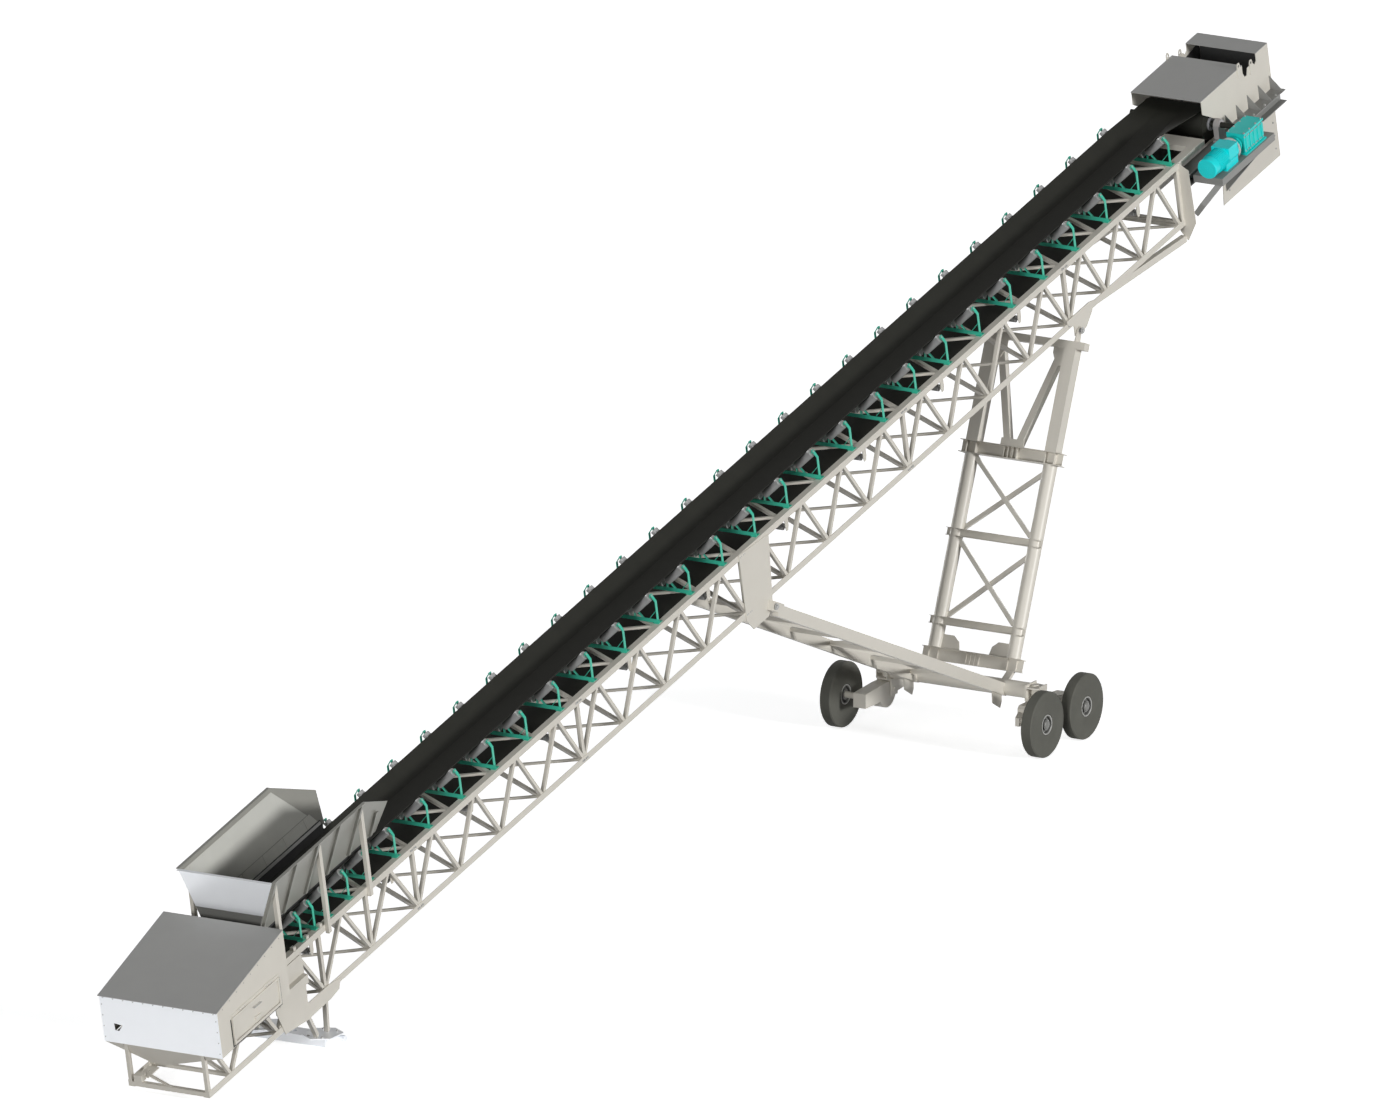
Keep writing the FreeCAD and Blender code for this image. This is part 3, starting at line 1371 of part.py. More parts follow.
def drive_deck():
    """A plate on a channel frame beside the head box, with a knee brace at its outer corner."""
    inner = -shelf_out - 2
    low = deck_top - size("DeckRail")
    plate = block(deck_start, deck_end, -deck_out, inner, deck_top - 12, deck_top)
    rails = [block(deck_start, deck_end, -deck_out, -deck_out + 50, low, deck_top - 12),
             block(deck_start, deck_end, inner - 50, inner, low, deck_top - 12)]
    ties = [block(at, at + 50, -deck_out, inner, low, deck_top - 12)
            for at in (deck_start, (deck_start + deck_end) / 2, deck_end - 50)]
    return joined([plate] + rails + ties)


def knee_brace(top_u, foot):
    """A bar from the deck's outer rail down to the end plate, or to the head box's side."""
    low = deck_top - size("DeckRail")
    raw = bar(V(top_u, -deck_out + 70, low + 20), foot, 80, 90, V(1, 0, 0))
    raw = raw.cut(block(deck_start - 200, deck_end, -deck_out - 200, -shelf_out, low, deck_top + 100))
    raw = raw.cut(block(length - 500, length + 12, -deck_out, 0, -2000, low))
    return raw.cut(block(length - 500, head_end, -box_half, 0, -2000, low))


feature("drive_deck", joined([drive_deck(), knee_brace(deck_start + 50, V(length - 60, -half - 150, -930)),
                              knee_brace(deck_end - 350, V(side_start + 40, -box_half + 60, -1190))]))
gear_start = head_at - size("GearboxSetback")
gear_end = gear_start + size("GearboxLength")
gear_axis = deck_top + size("GearboxHeight") / 2
gear_rim = 14


def gearbox():
    """A ribbed case with a flange all round its top edge and a foot plate on the deck."""
    wide = size("GearboxWidth") / 2
    top = deck_top + size("GearboxHeight")
    case = block(gear_start, gear_end, drive_y - wide, drive_y + wide, deck_top, top)
    foot = block(gear_start - gear_rim, gear_end + gear_rim, drive_y - wide - 30, drive_y + wide, deck_top,
                 deck_top + 24)
    lid = block(gear_start, gear_end, drive_y - wide - gear_rim, drive_y + wide, top - 30, top)
    ribs = []
    for k in range(5):
        at = gear_start + size("GearboxLength") * (k + 0.5) / 5
        ribs.append(block(at - 9, at + 9, drive_y - wide - gear_rim, drive_y - wide, deck_top + 24,
                          top - 30))
    return joined([case, foot, lid] + ribs)


feature("gearbox", gearbox())


def motor():
    """A round motor with a square terminal block, a foot and its shaft into the gearbox."""
    radius = size("MotorDiameter") / 2
    end = gear_start - gear_rim - size("MotorGap")
    start = end - size("MotorLength")
    body = rod(V(start, drive_y, gear_axis), V(end, drive_y, gear_axis), 2 * radius)
    shoulder = block(end - 300, end - 30, drive_y - radius, drive_y + radius, gear_axis - 40,
                     gear_axis + radius)
    foot = block(end - 420, end - 60, drive_y - radius, drive_y + radius, deck_top, gear_axis - 60)
    shaft = rod(V(end, drive_y, gear_axis), V(gear_start - seat, drive_y, gear_axis), 90)
    return joined([body, shoulder, foot, shaft])


feature("motor", motor())


# ---- checks and files -----------------------------------------------------------------------

doc.recompute()
for item in doc.Objects:
    for state in ("Invalid", "Error"):
        if state in item.State:
            raise RuntimeError(f"{item.Label} is {item.State}")
for label, item in NODES.items():
    if item.Shape.isNull() or not item.Shape.isValid():
        raise RuntimeError(f"{label} has a bad shape")
os.makedirs("parts", exist_ok=True)
for label, item in NODES.items():
    item.Shape.exportStep(f"parts/{label}.step")
print(len(NODES), "sub-parts")
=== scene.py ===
import math

import bmesh
import bpy
import numpy as np
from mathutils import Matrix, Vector
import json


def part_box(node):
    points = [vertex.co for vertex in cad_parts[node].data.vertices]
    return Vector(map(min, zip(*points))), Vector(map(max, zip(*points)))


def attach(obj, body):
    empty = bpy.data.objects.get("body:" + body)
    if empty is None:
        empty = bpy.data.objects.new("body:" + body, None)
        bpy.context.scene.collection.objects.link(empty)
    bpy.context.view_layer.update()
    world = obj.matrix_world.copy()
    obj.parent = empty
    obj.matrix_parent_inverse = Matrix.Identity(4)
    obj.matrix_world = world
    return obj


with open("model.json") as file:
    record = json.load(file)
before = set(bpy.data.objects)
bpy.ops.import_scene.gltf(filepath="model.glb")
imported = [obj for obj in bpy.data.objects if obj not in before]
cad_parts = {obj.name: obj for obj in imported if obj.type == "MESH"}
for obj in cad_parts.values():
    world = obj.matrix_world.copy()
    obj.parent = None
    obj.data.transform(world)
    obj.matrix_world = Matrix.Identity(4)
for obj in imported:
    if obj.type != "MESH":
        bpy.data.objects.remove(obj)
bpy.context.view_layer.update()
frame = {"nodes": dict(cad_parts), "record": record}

# ---- truss -------------------------------------------------------------------------------
# Two lattice sides of steel angle and bar, laced together top and bottom, in bolted sections.
# All of it, with the mast, struts, axle and bogies, is sprayed in one warm, light grey satin.
CLOUD_SCALE = 3.0
GRAIN_SCALE = 160.0
GRAIN_LIFT = 0.002


def finish(name, colour, rough, mottle, metallic=0.0, grain=0.0, shine=0.5):
    """A coat whose colour runs from colour * (1 - mottle) to colour * (1 + mottle) along a wide, soft
    noise read at the object's own coordinates. Where grain is given, a fine noise also lifts the surface."""
    material = bpy.data.materials.new(name)
    material.use_nodes = True
    tree = material.node_tree
    shader = tree.nodes["Principled BSDF"]
    shader.inputs["Roughness"].default_value = rough
    shader.inputs["Metallic"].default_value = metallic
    shader.inputs["Specular IOR Level"].default_value = shine
    place = tree.nodes.new("ShaderNodeTexCoord")
    cloud = tree.nodes.new("ShaderNodeTexNoise")
    cloud.inputs["Scale"].default_value = CLOUD_SCALE
    cloud.inputs["Detail"].default_value = 5.0
    tree.links.new(place.outputs["Object"], cloud.inputs["Vector"])
    ramp = tree.nodes.new("ShaderNodeValToRGB")
    ends = ramp.color_ramp.elements
    for end, position, share in ((ends[0], 0.3, 1.0 - mottle), (ends[1], 0.7, 1.0 + mottle)):
        end.position = position
        end.color = (*np.minimum(1.0, np.array(colour) * share), 1.0)
    tree.links.new(cloud.outputs["Fac"], ramp.inputs["Fac"])
    tree.links.new(ramp.outputs["Color"], shader.inputs["Base Color"])
    if grain:
        fine = tree.nodes.new("ShaderNodeTexNoise")
        fine.inputs["Scale"].default_value = GRAIN_SCALE
        tree.links.new(place.outputs["Object"], fine.inputs["Vector"])
        lift = tree.nodes.new("ShaderNodeBump")
        lift.inputs["Strength"].default_value = grain
        lift.inputs["Distance"].default_value = GRAIN_LIFT
        tree.links.new(fine.outputs["Fac"], lift.inputs["Height"])
        tree.links.new(lift.outputs["Normal"], shader.inputs["Normal"])
    return material


def coat(material, *names):
    """Each named node of the frame gets one finish in place of the one it came with."""
    for name in names:
        materials = frame["nodes"][name].data.materials
        materials.clear()
        materials.append(material)


def nodes_of(slot):
    """The nodes that the frame's record lists under one finish."""
    return [part["node"] for part in frame["record"]["subparts"] if part["material_slot"] == slot]


frame_paint = finish("frame_paint", (0.64, 0.61, 0.545), rough=0.4, mottle=0.015)
coat(frame_paint, *nodes_of("frame_paint"))

# ---- splice bolts ------------------------------------------------------------------------
# Hexagon bolts with washers through the chords' upright legs, either side of each splice.
# Zinc plated steel, drawn up against the painted angles.
LEAN = math.radians(12.86)
TAIL = np.array((-3.904, 0.0, 1.111))
ALONG = np.array((math.cos(LEAN), 0.0, math.sin(LEAN)))
UP = np.array((-math.sin(LEAN), 0.0, math.cos(LEAN)))
ACROSS = np.array((0.0, 1.0, 0.0))
SKYWARD = np.array((0.0, 0.0, 1.0))
FORWARD = np.array((1.0, 0.0, 0.0))
NEAR = -1
FAR = 1
SPLICES = 6.37 + 5.03 * np.arange(5)
FROM_SPLICE = np.array((-0.07, -0.03, 0.03, 0.07))
CHORD_FACE = 0.698
CHORD_LEGS = (-0.05, -1.017)
WASHER_SHARE = 1.35


def on_belt(u, y, v):
    """Points given along the belt, across it and square to it:
    the tail's place, plus each distance times its own way."""
    u, y, v = (np.asarray(d, float)[..., None] for d in (u, y, v))
    return TAIL + u * ALONG + y * ACROSS + v * UP


def rows_on_belt(u, y, v):
    """Points at every combination of the given distances along, across and square to the belt."""
    u, y, v = np.meshgrid(u, y, v, indexing="ij")
    return on_belt(u.ravel(), y.ravel(), v.ravel())


def turned(place, way, profile, sides, closed=False):
    """A profile of (distance, radius) turned round a line. A point stands at place + distance * way
    + radius * (cos t * aside + sin t * aloft), with t in even steps round the circle. Flat faces close
    both ends, or else the profile's last point joins its first."""
    way = np.array(way, float)
    way = way / np.linalg.norm(way)
    aside = np.cross(way, SKYWARD if abs(way[2]) < 0.9 else FORWARD)
    aside = aside / np.linalg.norm(aside)
    aloft = np.cross(way, aside)
    distance, radius = np.array(profile, float).T[:, :, None, None]
    t = (np.arange(sides) * 2 * math.pi / sides)[:, None]
    points = place + distance * way + radius * (np.cos(t) * aside + np.sin(t) * aloft)
    here = np.arange(len(profile) * sides).reshape(-1, sides)
    beside = np.roll(here, -1, axis=1)
    bands = np.stack([here, beside, np.roll(beside, -1, axis=0), np.roll(here, -1, axis=0)], axis=-1)
    if closed:
        return points.reshape(-1, 3), [bands.reshape(-1, 4)]
    return points.reshape(-1, 3), [bands[:-1].reshape(-1, 4), here[:1, ::-1], here[-1:]]


def repeated(shape, places):
    """One shape at many places: each place is added to all its points, and its faces count on."""
    points, faces = shape
    places = np.reshape(places, (-1, 1, 3))
    step = np.arange(len(places))[:, None, None] * len(points)
    return (places + points).reshape(-1, 3), [(f + step).reshape(-1, f.shape[1]) for f in faces]


def bolts(places, way, across, washer=True):
    """Hexagon heads that stand on a face. The corners' radius is across / sqrt 3, and the height 0.65 of
    across, with a chamfer over the last 0.1. A washer lies under each, wider by WASHER_SHARE."""
    corner = across / math.sqrt(3)
    wide = corner * WASHER_SHARE
    head = [(0.0, corner), (across * 0.55, corner), (across * 0.65, corner * 0.86)]
    disc = [(0.0, wide), (across * 0.12, wide)]
    heads = repeated(turned(np.zeros(3), way, head, sides=6), places)
    if not washer:
        return [heads]
    return [heads, repeated(turned(np.zeros(3), way, disc, sides=16), places)]


def mesh_piece(name, shapes, material):
    """One object of many closed shapes. Their points lie end to end in one mesh, so each shape's faces
    count on by the number of points before it, and each face starts at the sum of the corners before it."""
    counts = np.array([len(points) for points, faces in shapes])
    starts = np.cumsum(counts) - counts
    blocks = [block + start for (points, faces), start in zip(shapes, starts) for block in faces]
    corners = np.concatenate([block.ravel() for block in blocks])
    sides = np.concatenate([np.full(len(block), block.shape[1]) for block in blocks])
    mesh = bpy.data.meshes.new(name)
    mesh.vertices.add(counts.sum())
    mesh.vertices.foreach_set("co", np.concatenate([points for points, faces in shapes]).ravel())
    mesh.loops.add(len(corners))
    mesh.loops.foreach_set("vertex_index", corners)
    mesh.polygons.add(len(sides))
    mesh.polygons.foreach_set("loop_start", np.cumsum(sides) - sides)
    mesh.update(calc_edges=True)
    mesh.shade_flat()
    outward = bmesh.new()
    outward.from_mesh(mesh)
    bmesh.ops.recalc_face_normals(outward, faces=outward.faces)
    outward.to_mesh(mesh)
    outward.free()
    mesh.materials.append(material)
    made = bpy.data.objects.new(name, mesh)
    bpy.context.scene.collection.objects.link(made)
    return made


zinc = finish("zinc_plate", (0.45, 0.45, 0.44), rough=0.4, mottle=0.05, metallic=0.6)
stations = (SPLICES[:, None] + FROM_SPLICE).ravel()
shapes = []
for side in (NEAR, FAR):
    places = rows_on_belt(stations, side * CHORD_FACE, CHORD_LEGS)
    shapes += bolts(places, side * ACROSS, across=0.024)
splice_bolts = mesh_piece("splice_bolts", shapes, zinc)
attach(splice_bolts, "machine")

# ---- belt and pulleys --------------------------------------------------------------------
# One loop of black rubber on plies of fabric, joined without an end, over two lagged steel drums.
# The drums' lagging is the same rubber, bonded on.
belt_rubber = finish("belt_rubber", (0.018, 0.018, 0.014), rough=0.65, mottle=0.1, grain=0.2, shine=0.25)
coat(belt_rubber, *nodes_of("belt_rubber"))

# ---- pulley bearings and locking rings ---------------------------------------------------
# Cast pillow blocks carry each drum's shaft. A pressed ring with eight screws locks the shaft to
# the drum at each end. The blocks are painted, the rings and the frame's pins are left dark.
HEAD_PULLEY = (31.4, 0.027)
TAIL_PULLEY = (0.9, -0.023)
PULLEY_END = 0.5505
LOCKING_RING = [(0.0, 0.11), (0.02, 0.11), (0.024, 0.105), (0.024, 0.052)]
SCREW_CIRCLE = 0.085
SCREW_SEAT = 0.0242


def round_circle(count, radius, first, a, b):
    """Points spread evenly on a circle: radius * (cos t * a + sin t * b), with t from first on."""
    t = (first + np.arange(count) * 2 * math.pi / count)[:, None]
    return radius * (np.cos(t) * a + np.sin(t) * b)


dark_steel = finish("dark_steel", (0.18, 0.18, 0.19), rough=0.5, mottle=0.08, grain=0.1)
coat(dark_steel, *nodes_of("dark_steel"))
coat(finish("bearing_paint", (0.34, 0.32, 0.315), rough=0.4, mottle=0.04), "pulley_bearings")
shapes = []
for u, v in (HEAD_PULLEY, TAIL_PULLEY):
    for side in (NEAR, FAR):
        way = side * ACROSS
        end = on_belt(u, side * PULLEY_END, v)
        screws = end + way * SCREW_SEAT + round_circle(8, SCREW_CIRCLE, 0.0, ALONG, UP)
        shapes.append(turned(end, way, LOCKING_RING, sides=40))
        shapes += bolts(screws, way, across=0.014, washer=False)
pulley_rings = mesh_piece("pulley_rings", shapes, dark_steel)
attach(pulley_rings, "machine")

# ---- idlers ------------------------------------------------------------------------------
# Three rolls under the belt at each station, on a base angle with brackets and outer uprights.
# Folded steel in sea green enamel. These rolls and the return rolls are plain tube in dull grey.
UNDER_HOPPER = (3.15, 3.55, 3.98, 4.58, 5.22)
ON_TRUSS = 6.0 + np.arange(25)
IDLERS = np.concatenate([UNDER_HOPPER, ON_TRUSS])
idler_paint = finish("idler_paint", (0.05, 0.50, 0.35), rough=0.35, mottle=0.03)
coat(idler_paint, *nodes_of("idler_paint"))
coat(finish("roll_steel", (0.33, 0.33, 0.33), rough=0.45, mottle=0.06), *nodes_of("roll_steel"))

# ---- idler nuts and roll caps ------------------------------------------------------------
# Each wing roll's spindle ends in a nut on the upright's outer face, and a pressed cap closes the
# roll's outer end. Zinc plated steel, drawn up on the spindle's flats.
WING = math.radians(42.0)
WING_KNEE = (0.186, 0.1888)
ROLL_RADIUS = 0.0638
ROLL_START = 0.030
ROLL_END = ROLL_START + 0.3722
NUT_FACE = ROLL_START + 0.406
ROLL_CAP = [(0.0, 0.056), (0.003, 0.055), (0.003, 0.030)]
shapes = []
for side in (NEAR, FAR):
    outward = side * math.cos(WING) * ACROSS + math.sin(WING) * UP
    square = math.cos(WING) * UP - side * math.sin(WING) * ACROSS
    knees = on_belt(IDLERS, side * WING_KNEE[0], WING_KNEE[1]) - square * ROLL_RADIUS
    shapes += bolts(knees + outward * NUT_FACE, outward, across=0.026)
    shapes.append(repeated(turned(outward * ROLL_END, outward, ROLL_CAP, sides=24), knees))
idler_nuts = mesh_piece("idler_nuts", shapes, zinc)
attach(idler_nuts, "machine")

# ---- idler braces ------------------------------------------------------------------------
# A thin round brace at each side of an idler, from its base angle up to its upright.
# Drawn steel bar, welded at both ends and enamelled with the idler.
BRACE_FOOT = (0.450, 0.006)
BRACE_TOP = (0.6155, 0.200)
BRACE_RADIUS = 0.006
shapes = []
for side in (NEAR, FAR):
    feet = on_belt(IDLERS, side * BRACE_FOOT[0], BRACE_FOOT[1])
    way = on_belt(IDLERS[0], side * BRACE_TOP[0], BRACE_TOP[1]) - feet[0]
    rod = [(0.0, BRACE_RADIUS), (np.linalg.norm(way), BRACE_RADIUS)]
    shapes.append(repeated(turned(np.zeros(3), way, rod, sides=8), feet))
idler_braces = mesh_piece("idler_braces", shapes, idler_paint)
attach(idler_braces, "machine")

# ---- idler clips -------------------------------------------------------------------------
# Small steel blocks that clamp the ends of the first idlers' base angles to the top chords.
# Painted with the frame, each held by one bolt from above.
CLIPS = (2.83, 3.22, 3.62)
CLIP_HALF = 0.035
CLIP_WIDTH = (0.625, 0.685)
CLIP_HEIGHT = 0.055
CHORD_TOP = 0.0003


def plate(outline, way, thick):
    """A flat outline of corners, and the same corners moved along way by thick, closed round its edge."""
    outline = np.array(outline, float)
    near = np.arange(len(outline))
    far = near + len(outline)
    edge = np.stack([near, np.roll(near, -1), np.roll(far, -1), far], axis=1)
    points = np.concatenate([outline, outline + np.array(way, float) * thick])
    return points, [near[None, ::-1], far[None], edge]


shapes = []
heads = []
for side in (NEAR, FAR):
    for u in CLIPS:
        edges = np.array((u - CLIP_HALF, u + CLIP_HALF, u + CLIP_HALF, u - CLIP_HALF))
        inside, outside = side * np.array(CLIP_WIDTH)
        corners = on_belt(edges, (inside, inside, outside, outside), CHORD_TOP)
        shapes.append(plate(corners, UP, CLIP_HEIGHT))
    middles = on_belt(CLIPS, side * np.mean(CLIP_WIDTH), CHORD_TOP + CLIP_HEIGHT)
    heads += bolts(middles, UP, across=0.022)
idler_clips = mesh_piece("idler_clips", shapes, frame_paint)
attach(idler_clips, "machine")
clip_bolts = mesh_piece("clip_bolts", heads, zinc)
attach(clip_bolts, "machine")

# ---- tail box ----------------------------------------------------------------------------
# A box of folded sheet over the tail pulley, with a sloping grey roof and a pale front sheet. The
# head box's hood, the hopper's low end sheet and the pivot base have the same two finishes.
# The sheets meet on angles inside, with small bolts round the front and along the roof's fold.
BOX_SIDE = 1.015
ROOF_FOLD = 0.357
ROOF_SLOPE = 0.18
FRONT_BOLTS = -0.95 + 0.1727 * np.arange(12)
FRONT_BOLT_ROW = 0.375
EDGE_BOLTS = (-0.28, -0.10, 0.08, 0.26)
EDGE_OUT = 0.985
FOLD_BOLTS = 0.16 + 0.22 * np.arange(9)
pale_sheet = finish("pale_sheet", (0.90, 0.92, 0.95), rough=0.34, mottle=0.01, metallic=0.5)
coat(pale_sheet, *nodes_of("pale_sheet"))
coat(finish("roof_paint", (0.38, 0.38, 0.37), rough=0.16, mottle=0.015), *nodes_of("roof_paint"))
shapes = bolts(on_belt(0.0, FRONT_BOLTS, FRONT_BOLT_ROW), -ALONG, across=0.016, washer=False)
for side in (NEAR, FAR):
    down_the_edge = on_belt(0.0, side * EDGE_OUT, EDGE_BOLTS)
    up_the_fold = on_belt(FOLD_BOLTS, side * BOX_SIDE, ROOF_FOLD + ROOF_SLOPE * FOLD_BOLTS)
    shapes += bolts(down_the_edge, -ALONG, across=0.016, washer=False)
    shapes += bolts(up_the_fold, side * ACROSS, across=0.016, washer=False)
tail_bolts = mesh_piece("tail_bolts", shapes, zinc)
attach(tail_bolts, "machine")

# ---- inspection doors --------------------------------------------------------------------
# Each tail door has a pull handle of round bar, screwed hinge leaves and a frame of folded sheet.
# A strip of black rubber on the box seals the door's two ends and its lower edge, and its black also stands
# for the shadow round the door's edges: painted shadow.
DOOR_BACK = BOX_SIDE + 0.0003
DOOR_FACE = DOOR_BACK + 0.008
LEAF = 0.008
FOLD_HEIGHT = 0.018
SEAL_HEIGHT = 0.006
LEAF_STARTS = np.array((0.55, 1.35))
LEAF_SCREWS = (0.05, 0.12, 0.19)
LEAF_MIDDLE = 0.165
HANDLE_POSTS = (0.97, 1.17)
HANDLE_MIDDLE = 0.02
POST = [(0.0, 0.007), (0.04, 0.007)]
GRIP_START = 0.965
GRIP = [(0.0, 0.007), (0.21, 0.007)]
DOOR_FRAME = ((0.375, 1.765, -0.305, -0.265), (0.375, 0.415, -0.265, 0.10),
              (1.725, 1.765, -0.265, 0.10), (0.375, 1.765, 0.10, 0.14))
DOOR_SHADOW_SEAL = ((0.355, 1.785, -0.335, -0.318), (0.338, 0.358, -0.335, 0.12), (1.782, 1.802, -0.335, 0.12))


def strips_on_side(strips, y, way, thick):
    """Upright strips: rectangles from start to end and from low to high at one distance across,
    each made a plate one way."""
    return [plate(on_belt((u0, u1, u1, u0), y, (v0, v0, v1, v1)), way, thick) for u0, u1, v0, v1 in strips]


black_rubber = finish("skirt_rubber", (0.02, 0.02, 0.02), rough=0.7, mottle=0.1, grain=0.2)
for hand, side in (("near", NEAR), ("far", FAR)):
    way = side * ACROSS
    feet = on_belt(HANDLE_POSTS, side * DOOR_FACE, HANDLE_MIDDLE)
    grip_end = on_belt(GRIP_START, side * DOOR_FACE, HANDLE_MIDDLE) + way * POST[1][0]
    shapes = [repeated(turned(np.zeros(3), way, POST, sides=12), feet),
              turned(grip_end, ALONG, GRIP, sides=12)]
    stations = (LEAF_STARTS[:, None] + LEAF_SCREWS).ravel()
    screws = on_belt(stations, side * (DOOR_FACE + LEAF), LEAF_MIDDLE)
    shapes += bolts(screws, way, across=0.014, washer=False)
    trim = mesh_piece(hand + "_door_trim", shapes, zinc)
    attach(trim, hand + "_tail_door")
    folds = strips_on_side(DOOR_FRAME, side * DOOR_FACE, way, FOLD_HEIGHT)
    pressing = mesh_piece(hand + "_door_pressing", folds, frame_paint)
    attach(pressing, hand + "_tail_door")
    # Black strips along the door's ends and lower edge, which also stand for the shadow there: painted
    # shadow.
    strips = strips_on_side(DOOR_SHADOW_SEAL, side * DOOR_BACK, way, SEAL_HEIGHT)
    shadow_seal = mesh_piece(hand + "_door_shadow_seal", strips, black_rubber)
    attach(shadow_seal, "machine")

# ---- feed hopper -------------------------------------------------------------------------
# Leaning side sheets with slanted ribs outside, on posts from the truss, and a pale low end sheet. The side
# sheets' darker grey is painted shade.
# A dark strip under the low end sheet's lower edge stands in for the shade in the step there: painted shade.
HOPPER_FOOT = (0.444, 0.490)
HOPPER_RIM = (0.8075, 1.427)
SHEET = 0.0085
LOW_END = 2.2595
LIP_SHADE_STRIP = np.array((0.562, 0.836))
LIP_SHEET = 0.004


def wall_in(v):
    """How far out the leaning sheet's inner face stands at a height: a straight line from foot to rim,
    less the sheet's own thickness."""
    lean = (HOPPER_RIM[0] - HOPPER_FOOT[0]) / (HOPPER_RIM[1] - HOPPER_FOOT[1])
    return HOPPER_FOOT[0] + (v - HOPPER_FOOT[1]) * lean - SHEET


# The leaning side sheets are painted a darker grey than the frame: painted shade on their down-facing
# outsides.
hopper_painted_shade = finish("hopper_painted_shade", (0.27, 0.267, 0.24), rough=0.35, mottle=0.03)
coat(hopper_painted_shade, "hopper_side_near", "hopper_side_far")
low_y, high_y = wall_in(LIP_SHADE_STRIP)
corners = on_belt(LOW_END, (-low_y, low_y, high_y, -high_y), LIP_SHADE_STRIP[[0, 0, 1, 1]])
# Dark grey where the step under the low end sheet lies in shade: painted shade.
lip_painted_shade = finish("lip_painted_shade", (0.15, 0.15, 0.14), rough=0.35, mottle=0.03)
hopper_lip_shade_strip = mesh_piece("hopper_lip_shade_strip", [plate(corners, -ALONG, LIP_SHEET)], lip_painted_shade)
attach(hopper_lip_shade_strip, "machine")

# ---- hopper skirts -----------------------------------------------------------------------
# Rubber strips inside the hopper's foot reach down beside the load on the belt.
# Each is clamped to its sheet by a flat bar of zinc plated steel, with bolts through the sheet.
SKIRT_RUN = (2.32, 5.72)
SKIRT_SECTION = np.array(((0.4655, 0.585), (0.4535, 0.585), (0.392, 0.412), (0.404, 0.412)))
BAR_RUN = (2.34, 5.70)
BAR_SECTION = np.array(((0.4497, 0.575), (0.4417, 0.575), (0.4275, 0.535), (0.4355, 0.535)))
BAR_BOLTS = 2.45 + 0.245 * np.arange(14)
BAR_FACE = (0.4346, 0.555)


def strip_along(section, run, side):
    """A section of (across, up) corners carried along the belt from one station to another."""
    across, up = section.T
    return plate(on_belt(run[0], side * across, up), ALONG, run[1] - run[0])


shapes = []
bars = []
for side in (NEAR, FAR):
    shapes.append(strip_along(SKIRT_SECTION, SKIRT_RUN, side))
    bars.append(strip_along(BAR_SECTION, BAR_RUN, side))
    bars += bolts(on_belt(BAR_BOLTS, side * BAR_FACE[0], BAR_FACE[1]), -side * ACROSS, across=0.020)
hopper_skirts = mesh_piece("hopper_skirts", shapes, black_rubber)
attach(hopper_skirts, "machine")
skirt_bars = mesh_piece("skirt_bars", bars, zinc)
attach(skirt_bars, "machine")

# ---- hopper liners -----------------------------------------------------------------------
# Wear plates of hard steel inside the leaning sheets: one long plate above a row of short ones. Their grey
# is lighter than the steel's own: painted light for the hopper's shaded inside.
# Thin gaps part them, and countersunk bolts hold them in rows.
LINER = 0.006
LONG_PLATE = ((2.32, 0.757), (5.50, 0.757), (4.97, 1.37), (2.32, 1.37))
SHORT_PITCH = 0.612
SHORT_LENGTH = 0.597
SHORT_HEIGHTS = (0.505, 0.744)
SHORT_PLATES = 6
CUT_BACK = 0.16
COUNTERSUNK = [(0.0, 0.014), (0.003, 0.012)]
SHORT_BOLTS = (0.06, 0.30, 0.50)
LAST_BOLT = 5.6
LONG_BOLTS = np.arange(2.5, 5.0, 0.4)
BOLT_ROWS = (0.70, 1.33)
# A light grey for the plates and their bolts, raised above the steel's own colour: painted light inside the
# shaded hopper.
liner_painted_light = finish("liner_plate_painted_light", (0.52, 0.52, 0.48), rough=0.4, mottle=0.03)
starts = SKIRT_RUN[0] + SHORT_PITCH * np.arange(SHORT_PLATES)
ends = np.minimum(starts + SHORT_LENGTH, SKIRT_RUN[1])
top_ends = ends - CUT_BACK * (starts == starts[-1])
low, high = SHORT_HEIGHTS
outlines = [LONG_PLATE]
for start, end, top_end in zip(starts, ends, top_ends):
    outlines.append(((start, low), (end, low), (top_end, high), (start, high)))
low_row = (starts[:, None] + SHORT_BOLTS).ravel()
low_row = low_row[low_row < LAST_BOLT]
shapes = []
heads = []
for side in (NEAR, FAR):
    inward = -side * ACROSS
    for outline in outlines:
        u, v = np.array(outline).T
        shapes.append(plate(on_belt(u, side * wall_in(v), v), inward, LINER))
    head = turned(np.zeros(3), inward, COUNTERSUNK, sides=10)
    for row, v in zip((low_row, LONG_BOLTS), BOLT_ROWS):
        heads.append(repeated(head, on_belt(row, side * (wall_in(v) - LINER), v)))
hopper_liners = mesh_piece("hopper_liners", shapes, liner_painted_light)
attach(hopper_liners, "machine")
liner_bolts = mesh_piece("liner_bolts", heads, liner_painted_light)
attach(liner_bolts, "machine")

# ---- boot stiffeners ---------------------------------------------------------------------
# A corner of plate between each boot plate and the top chord, with a short channel across it.
# Painted steel plate and rolled channel, welded to the truss's side.
BOOT_FACE = 0.6985
BOOT_CORNER = ((2.08, -0.72), (2.935, -0.11), (2.08, -0.11))
BOOT_PLATE = 0.0115
CHANNEL_RUN = (2.07, 2.92)
CHANNEL = ((0.7105, 0.800, -0.428, -0.420), (0.792, 0.800, -0.552, -0.428), (0.7105, 0.800, -0.560, -0.552))
shapes = []
for side in (NEAR, FAR):
    way = side * ACROSS
    u, v = np.array(BOOT_CORNER).T
    shapes.append(plate(on_belt(u, side * BOOT_FACE, v), way, BOOT_PLATE))
    for y0, y1, v0, v1 in CHANNEL:
        shapes += strips_on_side([(*CHANNEL_RUN, v0, v1)], side * y0, way, y1 - y0)
boot_stiffeners = mesh_piece("boot_stiffeners", shapes, frame_paint)
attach(boot_stiffeners, "machine")

